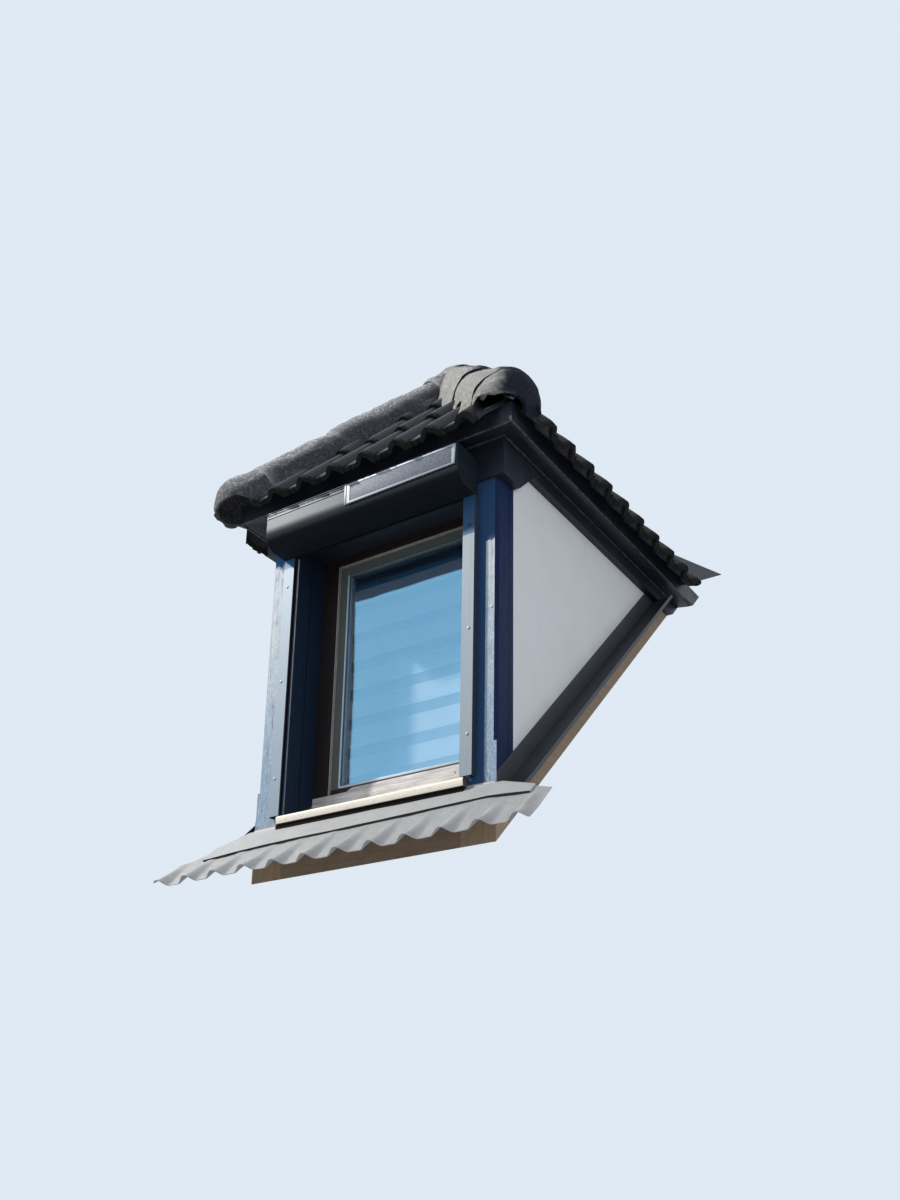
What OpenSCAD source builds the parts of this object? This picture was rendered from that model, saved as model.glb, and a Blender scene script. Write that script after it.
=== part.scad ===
// Hipped dormer window for a tiled roof: timber posts, rendered cheeks, a small hipped roof,
// a recessed window and a roller shutter with its box and guide rails.
// X runs to the right seen from the front, Y runs into the roof, Z is up.
// Heights are first worked out from the tile level at the foot of the posts, and the whole
// dormer is then moved so that the origin lies on its sloping seat.

/* [Main sizes] */
// Width over the outer faces of the two posts
outer_w = 1080; // [900:10:1400]
// Height from the tiles at the foot of the posts to the underside of the lintel
post_h = 1190; // [900:10:1500]
// Pitch of the roof that the dormer stands on, in degrees
main_pitch = 45; // [38:1:50]
// Depth of the base below the tiles, square to the slope
seat_drop = 150; // [145:5:200]

/* [Posts] */
// Width of a post across the front
post_w = 140; // [110:5:180]
// Depth of a post from front to back
post_d = 110; // [90:5:160]
// Size of the chamfer on the outer front edge
post_chamfer = 12; // [4:1:25]
// Height above the tiles at which the chamfer stops
chamfer_stop = 150; // [80:10:300]

/* [Beams] */
// Height of the lintel and of the wall plates
beam_h = 100; // [80:5:140]
// Thickness of the frieze boards
frieze_t = 30; // [18:1:45]
// Height of the band of frieze board under the soffit
frieze_h = 60; // [40:5:120]
// Thickness of the sloping sole plates
sole_t = 60; // [40:5:80]

/* [Cheeks] */
// Thickness of the rendered cheek wall
cheek_t = 92; // [60:2:140]
// Thickness of the inner lining boards
lining_t = 18; // [9:1:30]

/* [Dormer roof] */
// Pitch of the three slopes, in degrees
roof_pitch = 48; // [40:1:52]
// Reach of the tiles past the outer faces of the posts
side_reach = 205; // [140:5:280]
// Reach of the tiles past the front faces of the posts
front_reach = 185; // [120:5:260]
// Height of the tile edge above the underside of the lintel
eave_rise = 145; // [120:5:220]
// Thickness of the tiles
tile_t = 16; // [12:1:25]
// Distance from one tile roll to the next
roll_pitch = 149; // [120:1:200]
// Radius of a tile roll
roll_r = 30; // [20:1:40]
// Height of a tile roll above the pan
roll_h = 30; // [25:1:50]
// Thickness of the tiling battens
batten_t = 25; // [18:1:40]
// Thickness of the roof boards
deck_t = 18; // [12:1:28]
// Depth of the rafters
rafter_h = 80; // [60:5:120]
// Thickness of the rafters
rafter_w = 45; // [35:5:70]

/* [Eaves] */
// Distance of the fascia behind the tile edge
fascia_set = 90; // [30:5:120]
// Thickness of the fascia boards
fascia_t = 22; // [15:1:35]
// Depth of the fascia below the tile edge
fascia_drop = 5; // [0:5:60]
// Thickness of the soffit boards
soffit_t = 12; // [8:1:20]

/* [Hip and ridge caps] */
// Outer radius of a cap
cap_r = 130; // [80:5:140]
// Wall of a cap
cap_t = 22; // [8:1:25]
// Thickness of the wider lip at the lower end of a cap
cap_lip = 10; // [3:1:15]

/* [Window] */
// Depth of the window frame behind the front of the posts
frame_set = 160; // [110:5:180]
// Depth of the window frame
frame_d = 50; // [40:5:80]
// Visible width of the window frame
frame_w = 68; // [35:1:90]
// Width of the sash members
sash_w = 52; // [35:1:80]
// Thickness of the glass unit
glass_t = 24; // [16:1:40]
// Height of the timber rail under the window frame
rail_h = 105; // [60:5:160]

/* [Sill] */
// Thickness of the sill at its nose
sill_t = 28; // [18:1:50]
// Reach of the sill past the front of the posts
sill_reach = 30; // [15:5:80]
// Length by which each end of the sill laps over its post
sill_lap = 27; // [0:1:60]
// Fall of the sill from the window to the posts
sill_fall = 16; // [5:1:40]

/* [Roller shutter] */
// Height of the shutter box
box_h = 154; // [120:2:200]
// Depth of the shutter box
box_d = 135; // [110:5:200]
// Sheet thickness of the shutter box
box_t = 3; // [2:1:6]
// Distance of the box top above the underside of the lintel
box_rise = 93; // [40:1:100]
// Width of a guide rail
guide_w = 50; // [35:1:80]
// Depth of a guide rail
guide_d = 25; // [18:1:40]
// Length of the solar panel
panel_w = 496; // [200:2:700]
// Height of the solar panel
panel_h = 85; // [50:1:90]
// Thickness of the solar panel
panel_t = 6; // [4:1:15]

/* [Blind] */
// Height of the blind's cassette
cassette_h = 80; // [50:5:120]
// Depth of the blind's cassette
cassette_d = 52; // [40:5:90]

/* [Flashings] */
// Thickness of the sheet metal
sheet_t = 2; // [1:0.5:4]
// Reach of the apron past the outer faces of the posts
apron_side = 260; // [150:10:400]
// Length of the apron down the slope
apron_len = 340; // [200:10:450]
// Length of the cover strip down the slope
strip_len = 130; // [80:5:180]
// Height of the side flashing above the tiles
upstand_h = 25; // [10:5:80]
// Width of the gutter beside the cheeks
gutter_w = 100; // [60:5:160]
// Width of the valley sheets
valley_w = 140; // [80:5:220]

/* [Hidden] */
$fn = 48;

// Length that is longer than anything in the model
far = 6000;
// Gap left between pieces that only lie close to each other
gap = 0.3;
// Extra length of a cutting tool past the surface that it cuts
past = 1;

half_w = outer_w / 2;
open_half = half_w - post_w;
main_rise = tan(main_pitch);
seat_fall = seat_drop / cos(main_pitch);
jamb_d = frame_set + frame_d;
seat_y = jamb_d / 2;
tile_cut = 40;
valley_up = 60;
chamfer_side = post_chamfer * sqrt(2);
seat_z = seat_y * main_rise - seat_fall;
plate_z = post_h + beam_h;
plate_top = plate_z + beam_h;
sole_top = sole_t - seat_drop;

roof_rise = tan(roof_pitch);
eave_x = half_w + side_reach;
eave_y = -front_reach;
eave_z = post_h + eave_rise;
apex_y = eave_y + eave_x;
apex_z = eave_z + eave_x * roof_rise;
batten_at = tile_t;
deck_at = tile_t + batten_t;
rafter_at = deck_at + deck_t;
batten_w = 40;
batten_step = 220;
rafter_step = 400;
hip_rise = roof_rise / sqrt(2);
hip_tilt = atan(hip_rise);

frieze_x = half_w + frieze_t;
frieze_y = -frieze_t / 3;
frieze_top = plate_z + frieze_h;
fascia_x = eave_x - fascia_set;
fascia_y = eave_y + fascia_set;
fascia_z = eave_z - fascia_drop;

sill_z = 2;
sill_top = sill_z + sill_t;
sill_back = sill_top + sill_fall;
sill_mid = sill_top + sill_fall * sill_reach / (sill_reach + frame_set);
frame_z = sill_back + rail_h;
guide_in = open_half + 6;
guide_out = guide_in + guide_w;
box_top = post_h + box_rise;
box_low = box_top - box_h;
box_round = 62;
head_h = 34;
sash_low = 33;
sash_d = 44;
sash_y = frame_set + 12;
blind_top = post_h - head_h - 10;
// The blind's two cloths together, and how far it passes the glass at the sides and stops above the rail
blind_t = 4;
blind_over = 10;
blind_low = 40;
apron_at = -12;
apron_bump = 34;
// The tile rolls under the apron, which the sheet is dressed over, and where the middle one is
under_pitch = 140;
under_shift = 60;
strip_over = 8;
// Clear space under the middle of a cap, over the tile rolls, on the hips and on the ridge
cap_clear = 35;
ridge_clear = 10;
// The rolls of the front slope stand this much left of even spacing
roll_shift = 20;
// The ridge caps start this much in front of the apex, over the ends of the hip caps
ridge_front = apex_y - 40;
cap_len = 400;
hip_len = eave_x * sqrt(2) / cos(hip_tilt);
// Runs down the hips, from the apex, at which the caps meet and at which the rounded ends start
left_stops = [20, 192, 700, 1075, hip_len - 150];
right_stops = [for (k = [0 : 4]) 20 + k * (hip_len - 220) / 4];
// The tiles stop this far from each corner of the eaves, under the rounded ends of the hips
corner_cut = 220;
end_lift = 10;

// Height of the main slope at a depth, set off square to the slope
function main_z(y, off = 0) = y * main_rise + off / cos(main_pitch);
// Depth at which the main slope reaches a height
function main_y(z, off = 0) = (z - off / cos(main_pitch)) / main_rise;
// Height of a side slope of the dormer roof, set off square to it
function side_z(x, off = 0) = eave_z + (eave_x - x) * roof_rise + off / cos(roof_pitch);
// Height of the front slope of the dormer roof, set off square to it
function front_z(y, off = 0) = eave_z + (y - eave_y) * roof_rise + off / cos(roof_pitch);

back_y = main_y(apex_z, -seat_drop) + cap_r;

// A profile in Y and Z, drawn out from x0 to x1
module side_profile(x0, x1, pts) {
    translate([x0, 0, 0]) rotate([90, 0, 90]) linear_extrude(x1 - x0) polygon(pts);
}

// A profile in X and Z, drawn out from y0 to y1
module front_profile(y0, y1, pts) {
    translate([0, y1, 0]) rotate([90, 0, 0]) linear_extrude(y1 - y0) polygon(pts);
}

// All that lies under the main slope, set off square to it
module under_main(off = 0) {
    translate([0, 0, off / cos(main_pitch)]) rotate([main_pitch, 0, 0])
        translate([-far / 2, -far, -far]) cube([far, 2 * far, far]);
}

// Puts the right-hand piece on the left as well, or only there
module on_left() {
    mirror([1, 0, 0]) children();
}

// Moves the dormer so that the middle of its sloping seat is the origin
module placed() {
    translate([0, -seat_y, -seat_z]) children();
}

// Plan of the right-hand slope, from the hip to the main roof
module side_plan(y_far = back_y) {
    translate([0, 0, -far / 2]) linear_extrude(far)
        polygon([[0, apex_y], [eave_x, eave_y], [eave_x, y_far], [0, y_far]]);
}

// Plan of the front slope, between the two hips
module front_plan() {
    translate([0, 0, -far / 2]) linear_extrude(far)
        polygon([[-eave_x, eave_y], [eave_x, eave_y], [0, apex_y]]);
}

// All that lies in plan outside the cut corner of the eaves, right-hand side
module beyond_corner() {
    translate([0, 0, -far / 2]) linear_extrude(far) polygon([
        [eave_x - corner_cut, eave_y], [eave_x, eave_y + corner_cut], [far, eave_y + corner_cut],
        [far, -far], [eave_x - corner_cut, -far]
    ]);
}

// Layer of the right-hand slope between two depths, from the ridge to x_low
module side_layer(top, bottom, x_low) {
    intersection() {
        front_profile(eave_y, back_y, [
            [0, side_z(0, -bottom)], [x_low, side_z(x_low, -bottom)],
            [x_low, side_z(x_low, -top)], [0, side_z(0, -top)]
        ]);
        side_plan();
    }
}

// Layer of the front slope between two depths, from the apex to y_low
module front_layer(top, bottom, y_low) {
    intersection() {
        side_profile(-eave_x, eave_x, [
            [y_low, front_z(y_low, -bottom)], [apex_y, front_z(apex_y, -bottom)],
            [apex_y, front_z(apex_y, -top)], [y_low, front_z(y_low, -top)]
        ]);
        front_plan();
    }
}

module post() {
    color("#3c4a66") difference() {
        translate([open_half, 0, -far / 2]) cube([post_w, jamb_d, far / 2 + post_h]);
        under_main(-seat_drop);
        translate([half_w - cheek_t, post_d, -far / 2]) cube([cheek_t + past, jamb_d, far]);
        translate([half_w, 0, chamfer_stop + far / 2]) rotate([0, 0, 45])
            cube([chamfer_side, chamfer_side, far], center = true);
    }
}

module lintel() {
    back = half_w - cheek_t;
    color("#262b36") translate([0, 0, post_h]) linear_extrude(beam_h) polygon([
        [-half_w, 0], [half_w, 0], [half_w, post_d], [back, post_d],
        [back, jamb_d], [-back, jamb_d], [-back, post_d], [-half_w, post_d]
    ]);
}

module wall_plate() {
    color("#8d7757") difference() {
        translate([open_half, 0, plate_z]) cube([post_w, back_y, beam_h]);
        under_main(-seat_drop);
    }
}

module front_wall_plate() {
    color("#8d7757") translate([-open_half, 0, plate_z]) cube([2 * open_half, post_d, beam_h]);
}

module sole_plate() {
    color("#8d7757") intersection() {
        difference() {
            translate([half_w - cheek_t, post_d, -far / 2]) cube([cheek_t, back_y, far / 2 + plate_z]);
            under_main(-seat_drop);
        }
        under_main(sole_top);
    }
}

module front_sole_beam() {
    color("#8d7757") difference() {
        translate([-open_half, 0, -far / 2]) cube([2 * open_half, jamb_d, far / 2 + sill_z]);
        under_main(-seat_drop);
    }
}

module cheek() {
    color("#d9d7d2") difference() {
        translate([half_w - cheek_t, post_d, -far / 2]) cube([cheek_t, back_y, far / 2 + plate_z]);
        under_main(sole_top);
    }
}

module cheek_lining() {
    color("#e6e2da") difference() {
        translate([half_w - cheek_t - lining_t, jamb_d, -far / 2])
            cube([lining_t, back_y, far / 2 + plate_z - lining_t]);
        under_main(-seat_drop);
    }
}

module ceiling_lining() {
    half = half_w - cheek_t;
    color("#e6e2da") difference() {
        translate([-half, jamb_d, plate_z - lining_t]) cube([2 * half, back_y, lining_t]);
        under_main(-seat_drop);
    }
}

module ridge_board() {
    half = 14;
    deep = 150;
    color("#8d7757") difference() {
        front_profile(apex_y, back_y, [
            [-half, side_z(0, -rafter_at) - deep], [half, side_z(0, -rafter_at) - deep],
            [half, side_z(half, -rafter_at)], [0, side_z(0, -rafter_at)],
            [-half, side_z(half, -rafter_at)]
        ]);
        under_main(-seat_drop);
    }
}

// Starts at the top of the right-hand hip, with the hip's run along -Y
module along_hip() {
    translate([0, apex_y, apex_z]) rotate([0, 0, 45]) children();
}

module hip_rafter() {
    hip_w = 40;
    deep = 110;
    near = 30;
    run = half_w * sqrt(2);
    top = -rafter_at / cos(roof_pitch) - hip_w / 2 * hip_rise;
    color("#8d7757") difference() {
        along_hip() side_profile(-hip_w / 2, hip_w / 2, [
            [-near, top - near * hip_rise - deep], [-run, top - run * hip_rise - deep],
            [-run, top - run * hip_rise], [-near, top - near * hip_rise]
        ]);
        translate([0, 0, plate_top - far / 2]) cube(far, center = true);
    }
}

// Rafter of the right-hand slope, from the wall plate up to x_in
module side_rafter(y, x_in = 14) {
    color("#8d7757") difference() {
        front_profile(y - rafter_w / 2, y + rafter_w / 2, [
            [x_in, side_z(x_in, -rafter_at - rafter_h)], [half_w, side_z(half_w, -rafter_at - rafter_h)],
            [half_w, side_z(half_w, -rafter_at)], [x_in, side_z(x_in, -rafter_at)]
        ]);
        under_main(-seat_drop);
        translate([0, 0, plate_top - far / 2]) cube(far, center = true);
    }
}

// Rafter of the front slope, from the front wall plate up to y_in
module front_rafter(x, y_in) {
    color("#8d7757") difference() {
        side_profile(x - rafter_w / 2, x + rafter_w / 2, [
            [0, front_z(0, -rafter_at - rafter_h)], [y_in, front_z(y_in, -rafter_at - rafter_h)],
            [y_in, front_z(y_in, -rafter_at)], [0, front_z(0, -rafter_at)]
        ]);
        translate([0, 0, plate_top - far / 2]) cube(far, center = true);
    }
}

module rafters() {
    clear = 55;
    jack = 270;
    for (k = [0 : 3]) {
        y = apex_y + rafter_w + k * rafter_step;
        side_rafter(y);
        on_left() side_rafter(y);
    }
    front_rafter(0, apex_y - clear);
    for (side = [-1, 1]) front_rafter(side * jack, apex_y - jack - clear);
    side_rafter(apex_y - jack, jack + clear);
    on_left() side_rafter(apex_y - jack, jack + clear);
}

// Batten of the right-hand slope whose lower edge is at x
module side_batten(x) {
    difference() {
        intersection() {
            side_layer(batten_at, deck_at, x);
            translate([x - batten_w, -far / 2, 0]) cube([batten_w, far, far]);
        }
        under_main(valley_up + gap);
    }
}

module side_deck() {
    color("#b39a72") union() {
        difference() {
            side_layer(deck_at, rafter_at, fascia_x - fascia_t);
            under_main(-seat_drop);
        }
        for (k = [0 : 2]) side_batten(fascia_x - fascia_t - k * batten_step);
    }
}

module front_deck() {
    color("#b39a72") union() {
        front_layer(deck_at, rafter_at, fascia_y + fascia_t);
        for (k = [0 : 3]) {
            y = fascia_y + fascia_t + k * batten_step;
            intersection() {
                front_layer(batten_at, deck_at, y);
                translate([-far / 2, y, 0]) cube([far, batten_w, far]);
            }
        }
    }
}

module side_fascia() {
    inner = fascia_x - fascia_t;
    color("#1d2128") difference() {
        intersection() {
            front_profile(eave_y, back_y, [
                [inner, fascia_z], [fascia_x, fascia_z],
                [fascia_x, side_z(fascia_x, -tile_t)], [inner, side_z(inner, -tile_t)]
            ]);
            side_plan();
        }
        under_main(-seat_drop);
    }
}

module front_fascia() {
    inner = fascia_y + fascia_t;
    color("#1d2128") intersection() {
        side_profile(-fascia_x, fascia_x, [
            [fascia_y, fascia_z], [inner, fascia_z],
            [inner, front_z(inner, -tile_t)], [fascia_y, front_z(fascia_y, -tile_t)]
        ]);
        front_plan();
    }
}

module side_soffit() {
    outer = fascia_x - fascia_t;
    color("#23272f") difference() {
        intersection() {
            front_profile(eave_y, back_y, [
                [frieze_x, frieze_top], [outer, fascia_z], [outer, fascia_z + soffit_t],
                [frieze_x, frieze_top + soffit_t]
            ]);
            translate([0, 0, -far / 2]) linear_extrude(far) polygon([
                [frieze_x, frieze_y], [outer, fascia_y + fascia_t], [outer, back_y], [frieze_x, back_y]
            ]);
        }
        under_main(-seat_drop);
    }
}

module front_soffit() {
    outer = fascia_y + fascia_t;
    wide = fascia_x - fascia_t;
    color("#23272f") intersection() {
        side_profile(-eave_x, eave_x, [
            [outer, fascia_z], [frieze_y, frieze_top], [frieze_y, frieze_top + soffit_t],
            [outer, fascia_z + soffit_t]
        ]);
        translate([0, 0, -far / 2]) linear_extrude(far) polygon([
            [-frieze_x, frieze_y], [-wide, outer], [wide, outer], [frieze_x, frieze_y]
        ]);
    }
}

module side_frieze() {
    y_back = main_y(frieze_top, -seat_drop) + past;
    color("#20242c") difference() {
        side_profile(half_w, frieze_x, [
            [0, post_h], [post_d, post_h], [post_d + beam_h, plate_z], [y_back, plate_z],
            [y_back, frieze_top], [0, frieze_top]
        ]);
        under_main(-seat_drop);
    }
}

module front_frieze() {
    color("#20242c") translate([-frieze_x, frieze_y, post_h])
        cube([2 * frieze_x, -frieze_y, frieze_top - post_h]);
}

module side_tiles() {
    drop = roll_h - roll_r;
    rolls = floor((main_y(apex_z, -tile_cut) - roll_r - eave_y) / roll_pitch - 0.5);
    color("#4a4d52") difference() {
        intersection() {
            union() {
                side_layer(0, tile_t, eave_x);
                for (k = [0 : rolls]) {
                    translate([eave_x, eave_y + (k + 0.5) * roll_pitch, eave_z])
                        rotate([0, roof_pitch - 90, 0]) translate([drop, 0, 0])
                            cylinder(r = roll_r, h = far / 3);
                }
            }
            side_plan();
            front_profile(eave_y, back_y, [
                [0, side_z(0, -tile_t)], [eave_x, side_z(eave_x, -tile_t)], [eave_x, side_z(eave_x, far)],
                [0, side_z(0, far)]
            ]);
        }
        under_main(-tile_cut);
        beyond_corner();
    }
}

module front_tiles() {
    drop = roll_h - roll_r;
    rolls = floor(2 * eave_x / roll_pitch);
    color("#4a4d52") difference() {
        intersection() {
            union() {
                front_layer(0, tile_t, eave_y);
                for (k = [0 : rolls - 1]) {
                    translate([(k - (rolls - 1) / 2) * roll_pitch - roll_shift, eave_y, eave_z])
                        rotate([roof_pitch - 90, 0, 0]) translate([0, -drop, 0])
                            cylinder(r = roll_r, h = far / 3);
                }
            }
            front_plan();
            side_profile(-eave_x, eave_x, [
                [eave_y, front_z(eave_y, -tile_t)], [apex_y, front_z(apex_y, -tile_t)],
                [apex_y, far], [eave_y, far]
            ]);
        }
        beyond_corner();
        on_left() beyond_corner();
    }
}

// Section of a cap square to its run: an arch with skirts that end on the tile rolls
module cap_section(fall, rise, clear, grow = 0) {
    low = rise + clear - cap_r + cap_t;
    skirt = cap_r * 1.2;
    difference() {
        union() {
            translate([0, low]) circle(cap_r + grow);
            translate([-cap_r - grow, low - skirt]) square([2 * (cap_r + grow), skirt]);
        }
        translate([0, low]) circle(cap_r - cap_t);
        translate([-cap_r + cap_t, low - 2 * skirt]) square([2 * (cap_r - cap_t), 2 * skirt]);
        polygon([
            [0, rise], [2 * cap_r, rise - 2 * cap_r * fall], [2 * cap_r, -4 * cap_r],
            [-2 * cap_r, -4 * cap_r], [-2 * cap_r, rise - 2 * cap_r * fall]
        ]);
    }
}

// One cap from run a to run b, with its wider lip at b
module cap(a, b, fall, rise, clear) {
    lip = 45;
    translate([0, 0, a + gap]) linear_extrude(b - a - 2 * gap) cap_section(fall, rise, clear);
    translate([0, 0, b - lip]) linear_extrude(lip - gap) cap_section(fall, rise, clear, cap_lip);
}

// Rounded end of a hip past run b, a quarter of a hollow ball
module cap_end(b, rise) {
    low = rise + cap_clear - cap_r + cap_t;
    difference() {
        translate([0, low, b]) sphere(cap_r);
        translate([0, low, b]) sphere(cap_r - cap_t);
        translate([-far / 2, low + end_lift - far, -far / 2]) cube(far);
        translate([-far / 2, -far / 2, b + gap - far]) cube(far);
    }
}

module hip_caps(stops) {
    fall = roof_rise / sqrt(2 + roof_rise * roof_rise);
    rise = roll_h / (cos(roof_pitch) * sqrt(1 + hip_rise * hip_rise));
    last = len(stops) - 1;
    color("#6d6a64") intersection() {
        along_hip() rotate([90 + hip_tilt, 0, 0]) {
            for (k = [0 : last - 1]) cap(stops[k], stops[k + 1], fall, rise, cap_clear);
            cap_end(stops[last], rise);
        }
        translate([gap, ridge_front - gap - far, -far / 2]) cube(far);
    }
}

module ridge_caps() {
    rise = roll_h / cos(roof_pitch);
    color("#6d6a64") difference() {
        translate([0, ridge_front, apex_z]) rotate([90, 0, 180])
            for (k = [0 : 4]) cap(k * cap_len, (k + 1) * cap_len, roof_rise, rise, ridge_clear);
        under_main(-tile_cut);
    }
}

module valley_sheet() {
    x_out = fascia_x - fascia_t;
    y_out = main_y(side_z(x_out, -deck_at), -tile_cut);
    y_in = main_y(side_z(0, -deck_at), -tile_cut);
    wide = valley_w * sqrt(2);
    color("#7c8087") {
        intersection() {
            difference() {
                under_main(-tile_cut);
                under_main(-tile_cut - sheet_t);
            }
            translate([0, 0, -far / 2]) linear_extrude(far) polygon([
                [gap, y_in], [x_out, y_out], [x_out + wide, y_out], [gap + wide, y_in]
            ]);
        }
        intersection() {
            side_layer(deck_at - sheet_t, deck_at, x_out);
            difference() {
                under_main(valley_up);
                under_main(-tile_cut - sheet_t);
            }
            translate([gap, -far / 2, -far / 2]) cube(far);
        }
    }
}

// Lays children out on the main slope: X across, Y off the slope, Z down the slope
module down_slope(off) {
    translate([0, 0, off / cos(main_pitch)]) rotate([90 + main_pitch, 0, 0]) children();
}

// Numbers of the first and the last tile roll under the apron
first_roll = ceil((apron_bump - half_w - apron_side - under_shift) / under_pitch);
last_roll = floor((half_w + apron_side - apron_bump - under_shift) / under_pitch);

// One bump of the apron over a tile roll, from nothing to its full size at the sheet's foot
module apron_roll(k, size) {
    long = apron_len - strip_len;
    translate([under_shift + k * under_pitch, 0, strip_len])
        cylinder(r1 = 0, r2 = size, h = long + past);
}

module apron() {
    half = half_w + apron_side;
    inner = apron_bump - sheet_t;
    color("#9a9d9f") difference() {
        down_slope(apron_at) difference() {
            union() {
                translate([-half, 0, -2 * sheet_t]) cube([2 * half, sheet_t, strip_len + 4 * sheet_t]);
                translate([-half, 0, strip_len]) cube([2 * half, sheet_t, apron_len - strip_len]);
                for (k = [first_roll : last_roll]) apron_roll(k, apron_bump);
            }
            for (k = [first_roll : last_roll]) translate([0, 0, sheet_t]) apron_roll(k, inner);
            translate([-far / 2, -far, -far / 2]) cube(far);
            translate([-far / 2, -far / 2, apron_len]) cube(far);
        }
        translate([-far / 2, 0, -far / 2]) cube(far);
    }
}

module apron_cover_strip() {
    half = half_w + strip_over;
    hem = 12;
    color("#b4b6b6") union() {
        difference() {
            down_slope(apron_at + sheet_t) union() {
                translate([-half, 0, -2 * sheet_t]) cube([2 * half, sheet_t, strip_len + 2 * sheet_t]);
                translate([-half, 0, strip_len - hem]) cube([2 * half, 3 * sheet_t, hem]);
            }
            translate([-far / 2, 0, -far / 2]) cube(far);
        }
        translate([-half_w, -sheet_t, -5 * sheet_t]) cube([outer_w, sheet_t, 5 * sheet_t + sill_z]);
    }
}

// Strip along the right-hand cheek, between two distances from it and two levels on the slope
module cheek_strip(x0, x1, low, high) {
    intersection() {
        difference() {
            translate([half_w + x0, 0, -far / 2]) cube([x1 - x0, back_y, far / 2 + plate_z - gap]);
            under_main(low);
        }
        under_main(high);
    }
}

module side_flashing() {
    fold = 15;
    color("#3a3d42") union() {
        cheek_strip(0, sheet_t, -tile_cut, upstand_h);
        cheek_strip(0, gutter_w, -tile_cut, sheet_t - tile_cut);
        cheek_strip(gutter_w - sheet_t, gutter_w, -tile_cut, fold - tile_cut);
    }
}

module window_frame() {
    half = open_half - gap;
    color("#3a2f2b") translate([0, frame_set, 0]) difference() {
        translate([-half, 0, frame_z]) cube([2 * half, frame_d, post_h - frame_z]);
        translate([-half + frame_w, -past, frame_z - past])
            cube([2 * (half - frame_w), frame_d + 2 * past, post_h - frame_z - head_h + past]);
    }
}

module window_sash() {
    half = open_half - frame_w - 2 * gap;
    low = frame_z + gap;
    high = post_h - head_h - gap;
    color("#7f8a85") translate([0, sash_y, 0]) difference() {
        translate([-half, 0, low]) cube([2 * half, sash_d, high - low]);
        translate([-half + sash_w, -past, low + sash_low])
            cube([2 * (half - sash_w), sash_d + 2 * past, high - low - sash_w - sash_low]);
    }
}

module window_glass() {
    half = open_half - frame_w - 2 * gap - sash_w;
    low = frame_z + gap + sash_low;
    high = post_h - head_h - gap - sash_w;
    color("#5c87b5") translate([-half, sash_y + (sash_d - glass_t) / 2, low])
        cube([2 * half, glass_t, high - low]);
}

module window_bottom_rail() {
    half = open_half - gap;
    color("#c4b8a5") translate([-half, frame_set, sill_back]) cube([2 * half, frame_d, rail_h]);
}

module window_sill() {
    half = open_half - gap;
    color("#e8dcc0") union() {
        side_profile(-open_half - sill_lap, open_half + sill_lap, [
            [-sill_reach, sill_z], [0, sill_z], [0, sill_mid], [-sill_reach, sill_top]
        ]);
        side_profile(-half, half, [
            [-past, sill_z], [jamb_d, sill_z], [jamb_d, sill_back], [frame_set, sill_back],
            [0, sill_mid], [-past, sill_mid]
        ]);
    }
}

module blind_cassette() {
    half = open_half - frame_w - sash_w / 2;
    color("#d8d8d4") translate([-half, sash_y + sash_d, blind_top - cassette_h])
        cube([2 * half, cassette_d, cassette_h]);
}

module zebra_blind() {
    half = open_half - frame_w - sash_w + blind_over;
    low = frame_z + blind_low;
    color("#c9cdd2") translate([-half, sash_y + sash_d + (cassette_d - blind_t) / 2, low])
        cube([2 * half, blind_t, blind_top - cassette_h - low]);
}

// Outline of the shutter box in Y and Z, with the wall taken off by inset
module box_outline(inset) {
    front = frieze_y - box_d + inset;
    union() {
        translate([front, box_low + box_round]) square([box_d - 2 * inset, box_h - box_round - inset]);
        translate([front + box_round - inset, box_low + inset])
            square([box_d - box_round - inset, box_round + past - inset]);
        translate([front + box_round - inset, box_low + box_round]) circle(box_round - inset);
    }
}

module shutter_box() {
    slot = 12;
    color("#22252b") difference() {
        translate([-guide_out, 0, 0]) rotate([90, 0, 90]) linear_extrude(2 * guide_out) box_outline(0);
        translate([-guide_out + box_t, 0, 0]) rotate([90, 0, 90])
            linear_extrude(2 * (guide_out - box_t)) box_outline(box_t);
        translate([-guide_in, frieze_y - box_t - slot, box_low - past])
            cube([2 * guide_in, slot, box_t + 2 * past]);
    }
}

module solar_panel() {
    round_r = 22;
    right = guide_out - 7;
    low = box_top - 7 - panel_h;
    color("#8d98a8") translate([right - panel_w, frieze_y - box_d, low]) rotate([90, 0, 0])
        linear_extrude(panel_t) union() {
            translate([0, round_r]) square([panel_w, panel_h - round_r]);
            translate([round_r, 0]) square([panel_w - 2 * round_r, panel_h]);
            translate([round_r, round_r]) circle(round_r);
            translate([panel_w - round_r, round_r]) circle(round_r);
        }
}

module guide_rail() {
    wall = 2;
    slot = 12;
    low = sill_mid + gap;
    high = box_low - gap;
    color("#c8ccd0") difference() {
        translate([guide_in, -guide_d, low]) cube([guide_w, guide_d, high - low]);
        translate([guide_in + wall, -guide_d + wall, low - past])
            cube([guide_w - 2 * wall, guide_d - 2 * wall, high - low + 2 * past]);
        translate([guide_in - past, -(guide_d + slot) / 2, low - past])
            cube([2 * past + wall, slot, high - low + 2 * past]);
    }
}

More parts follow.
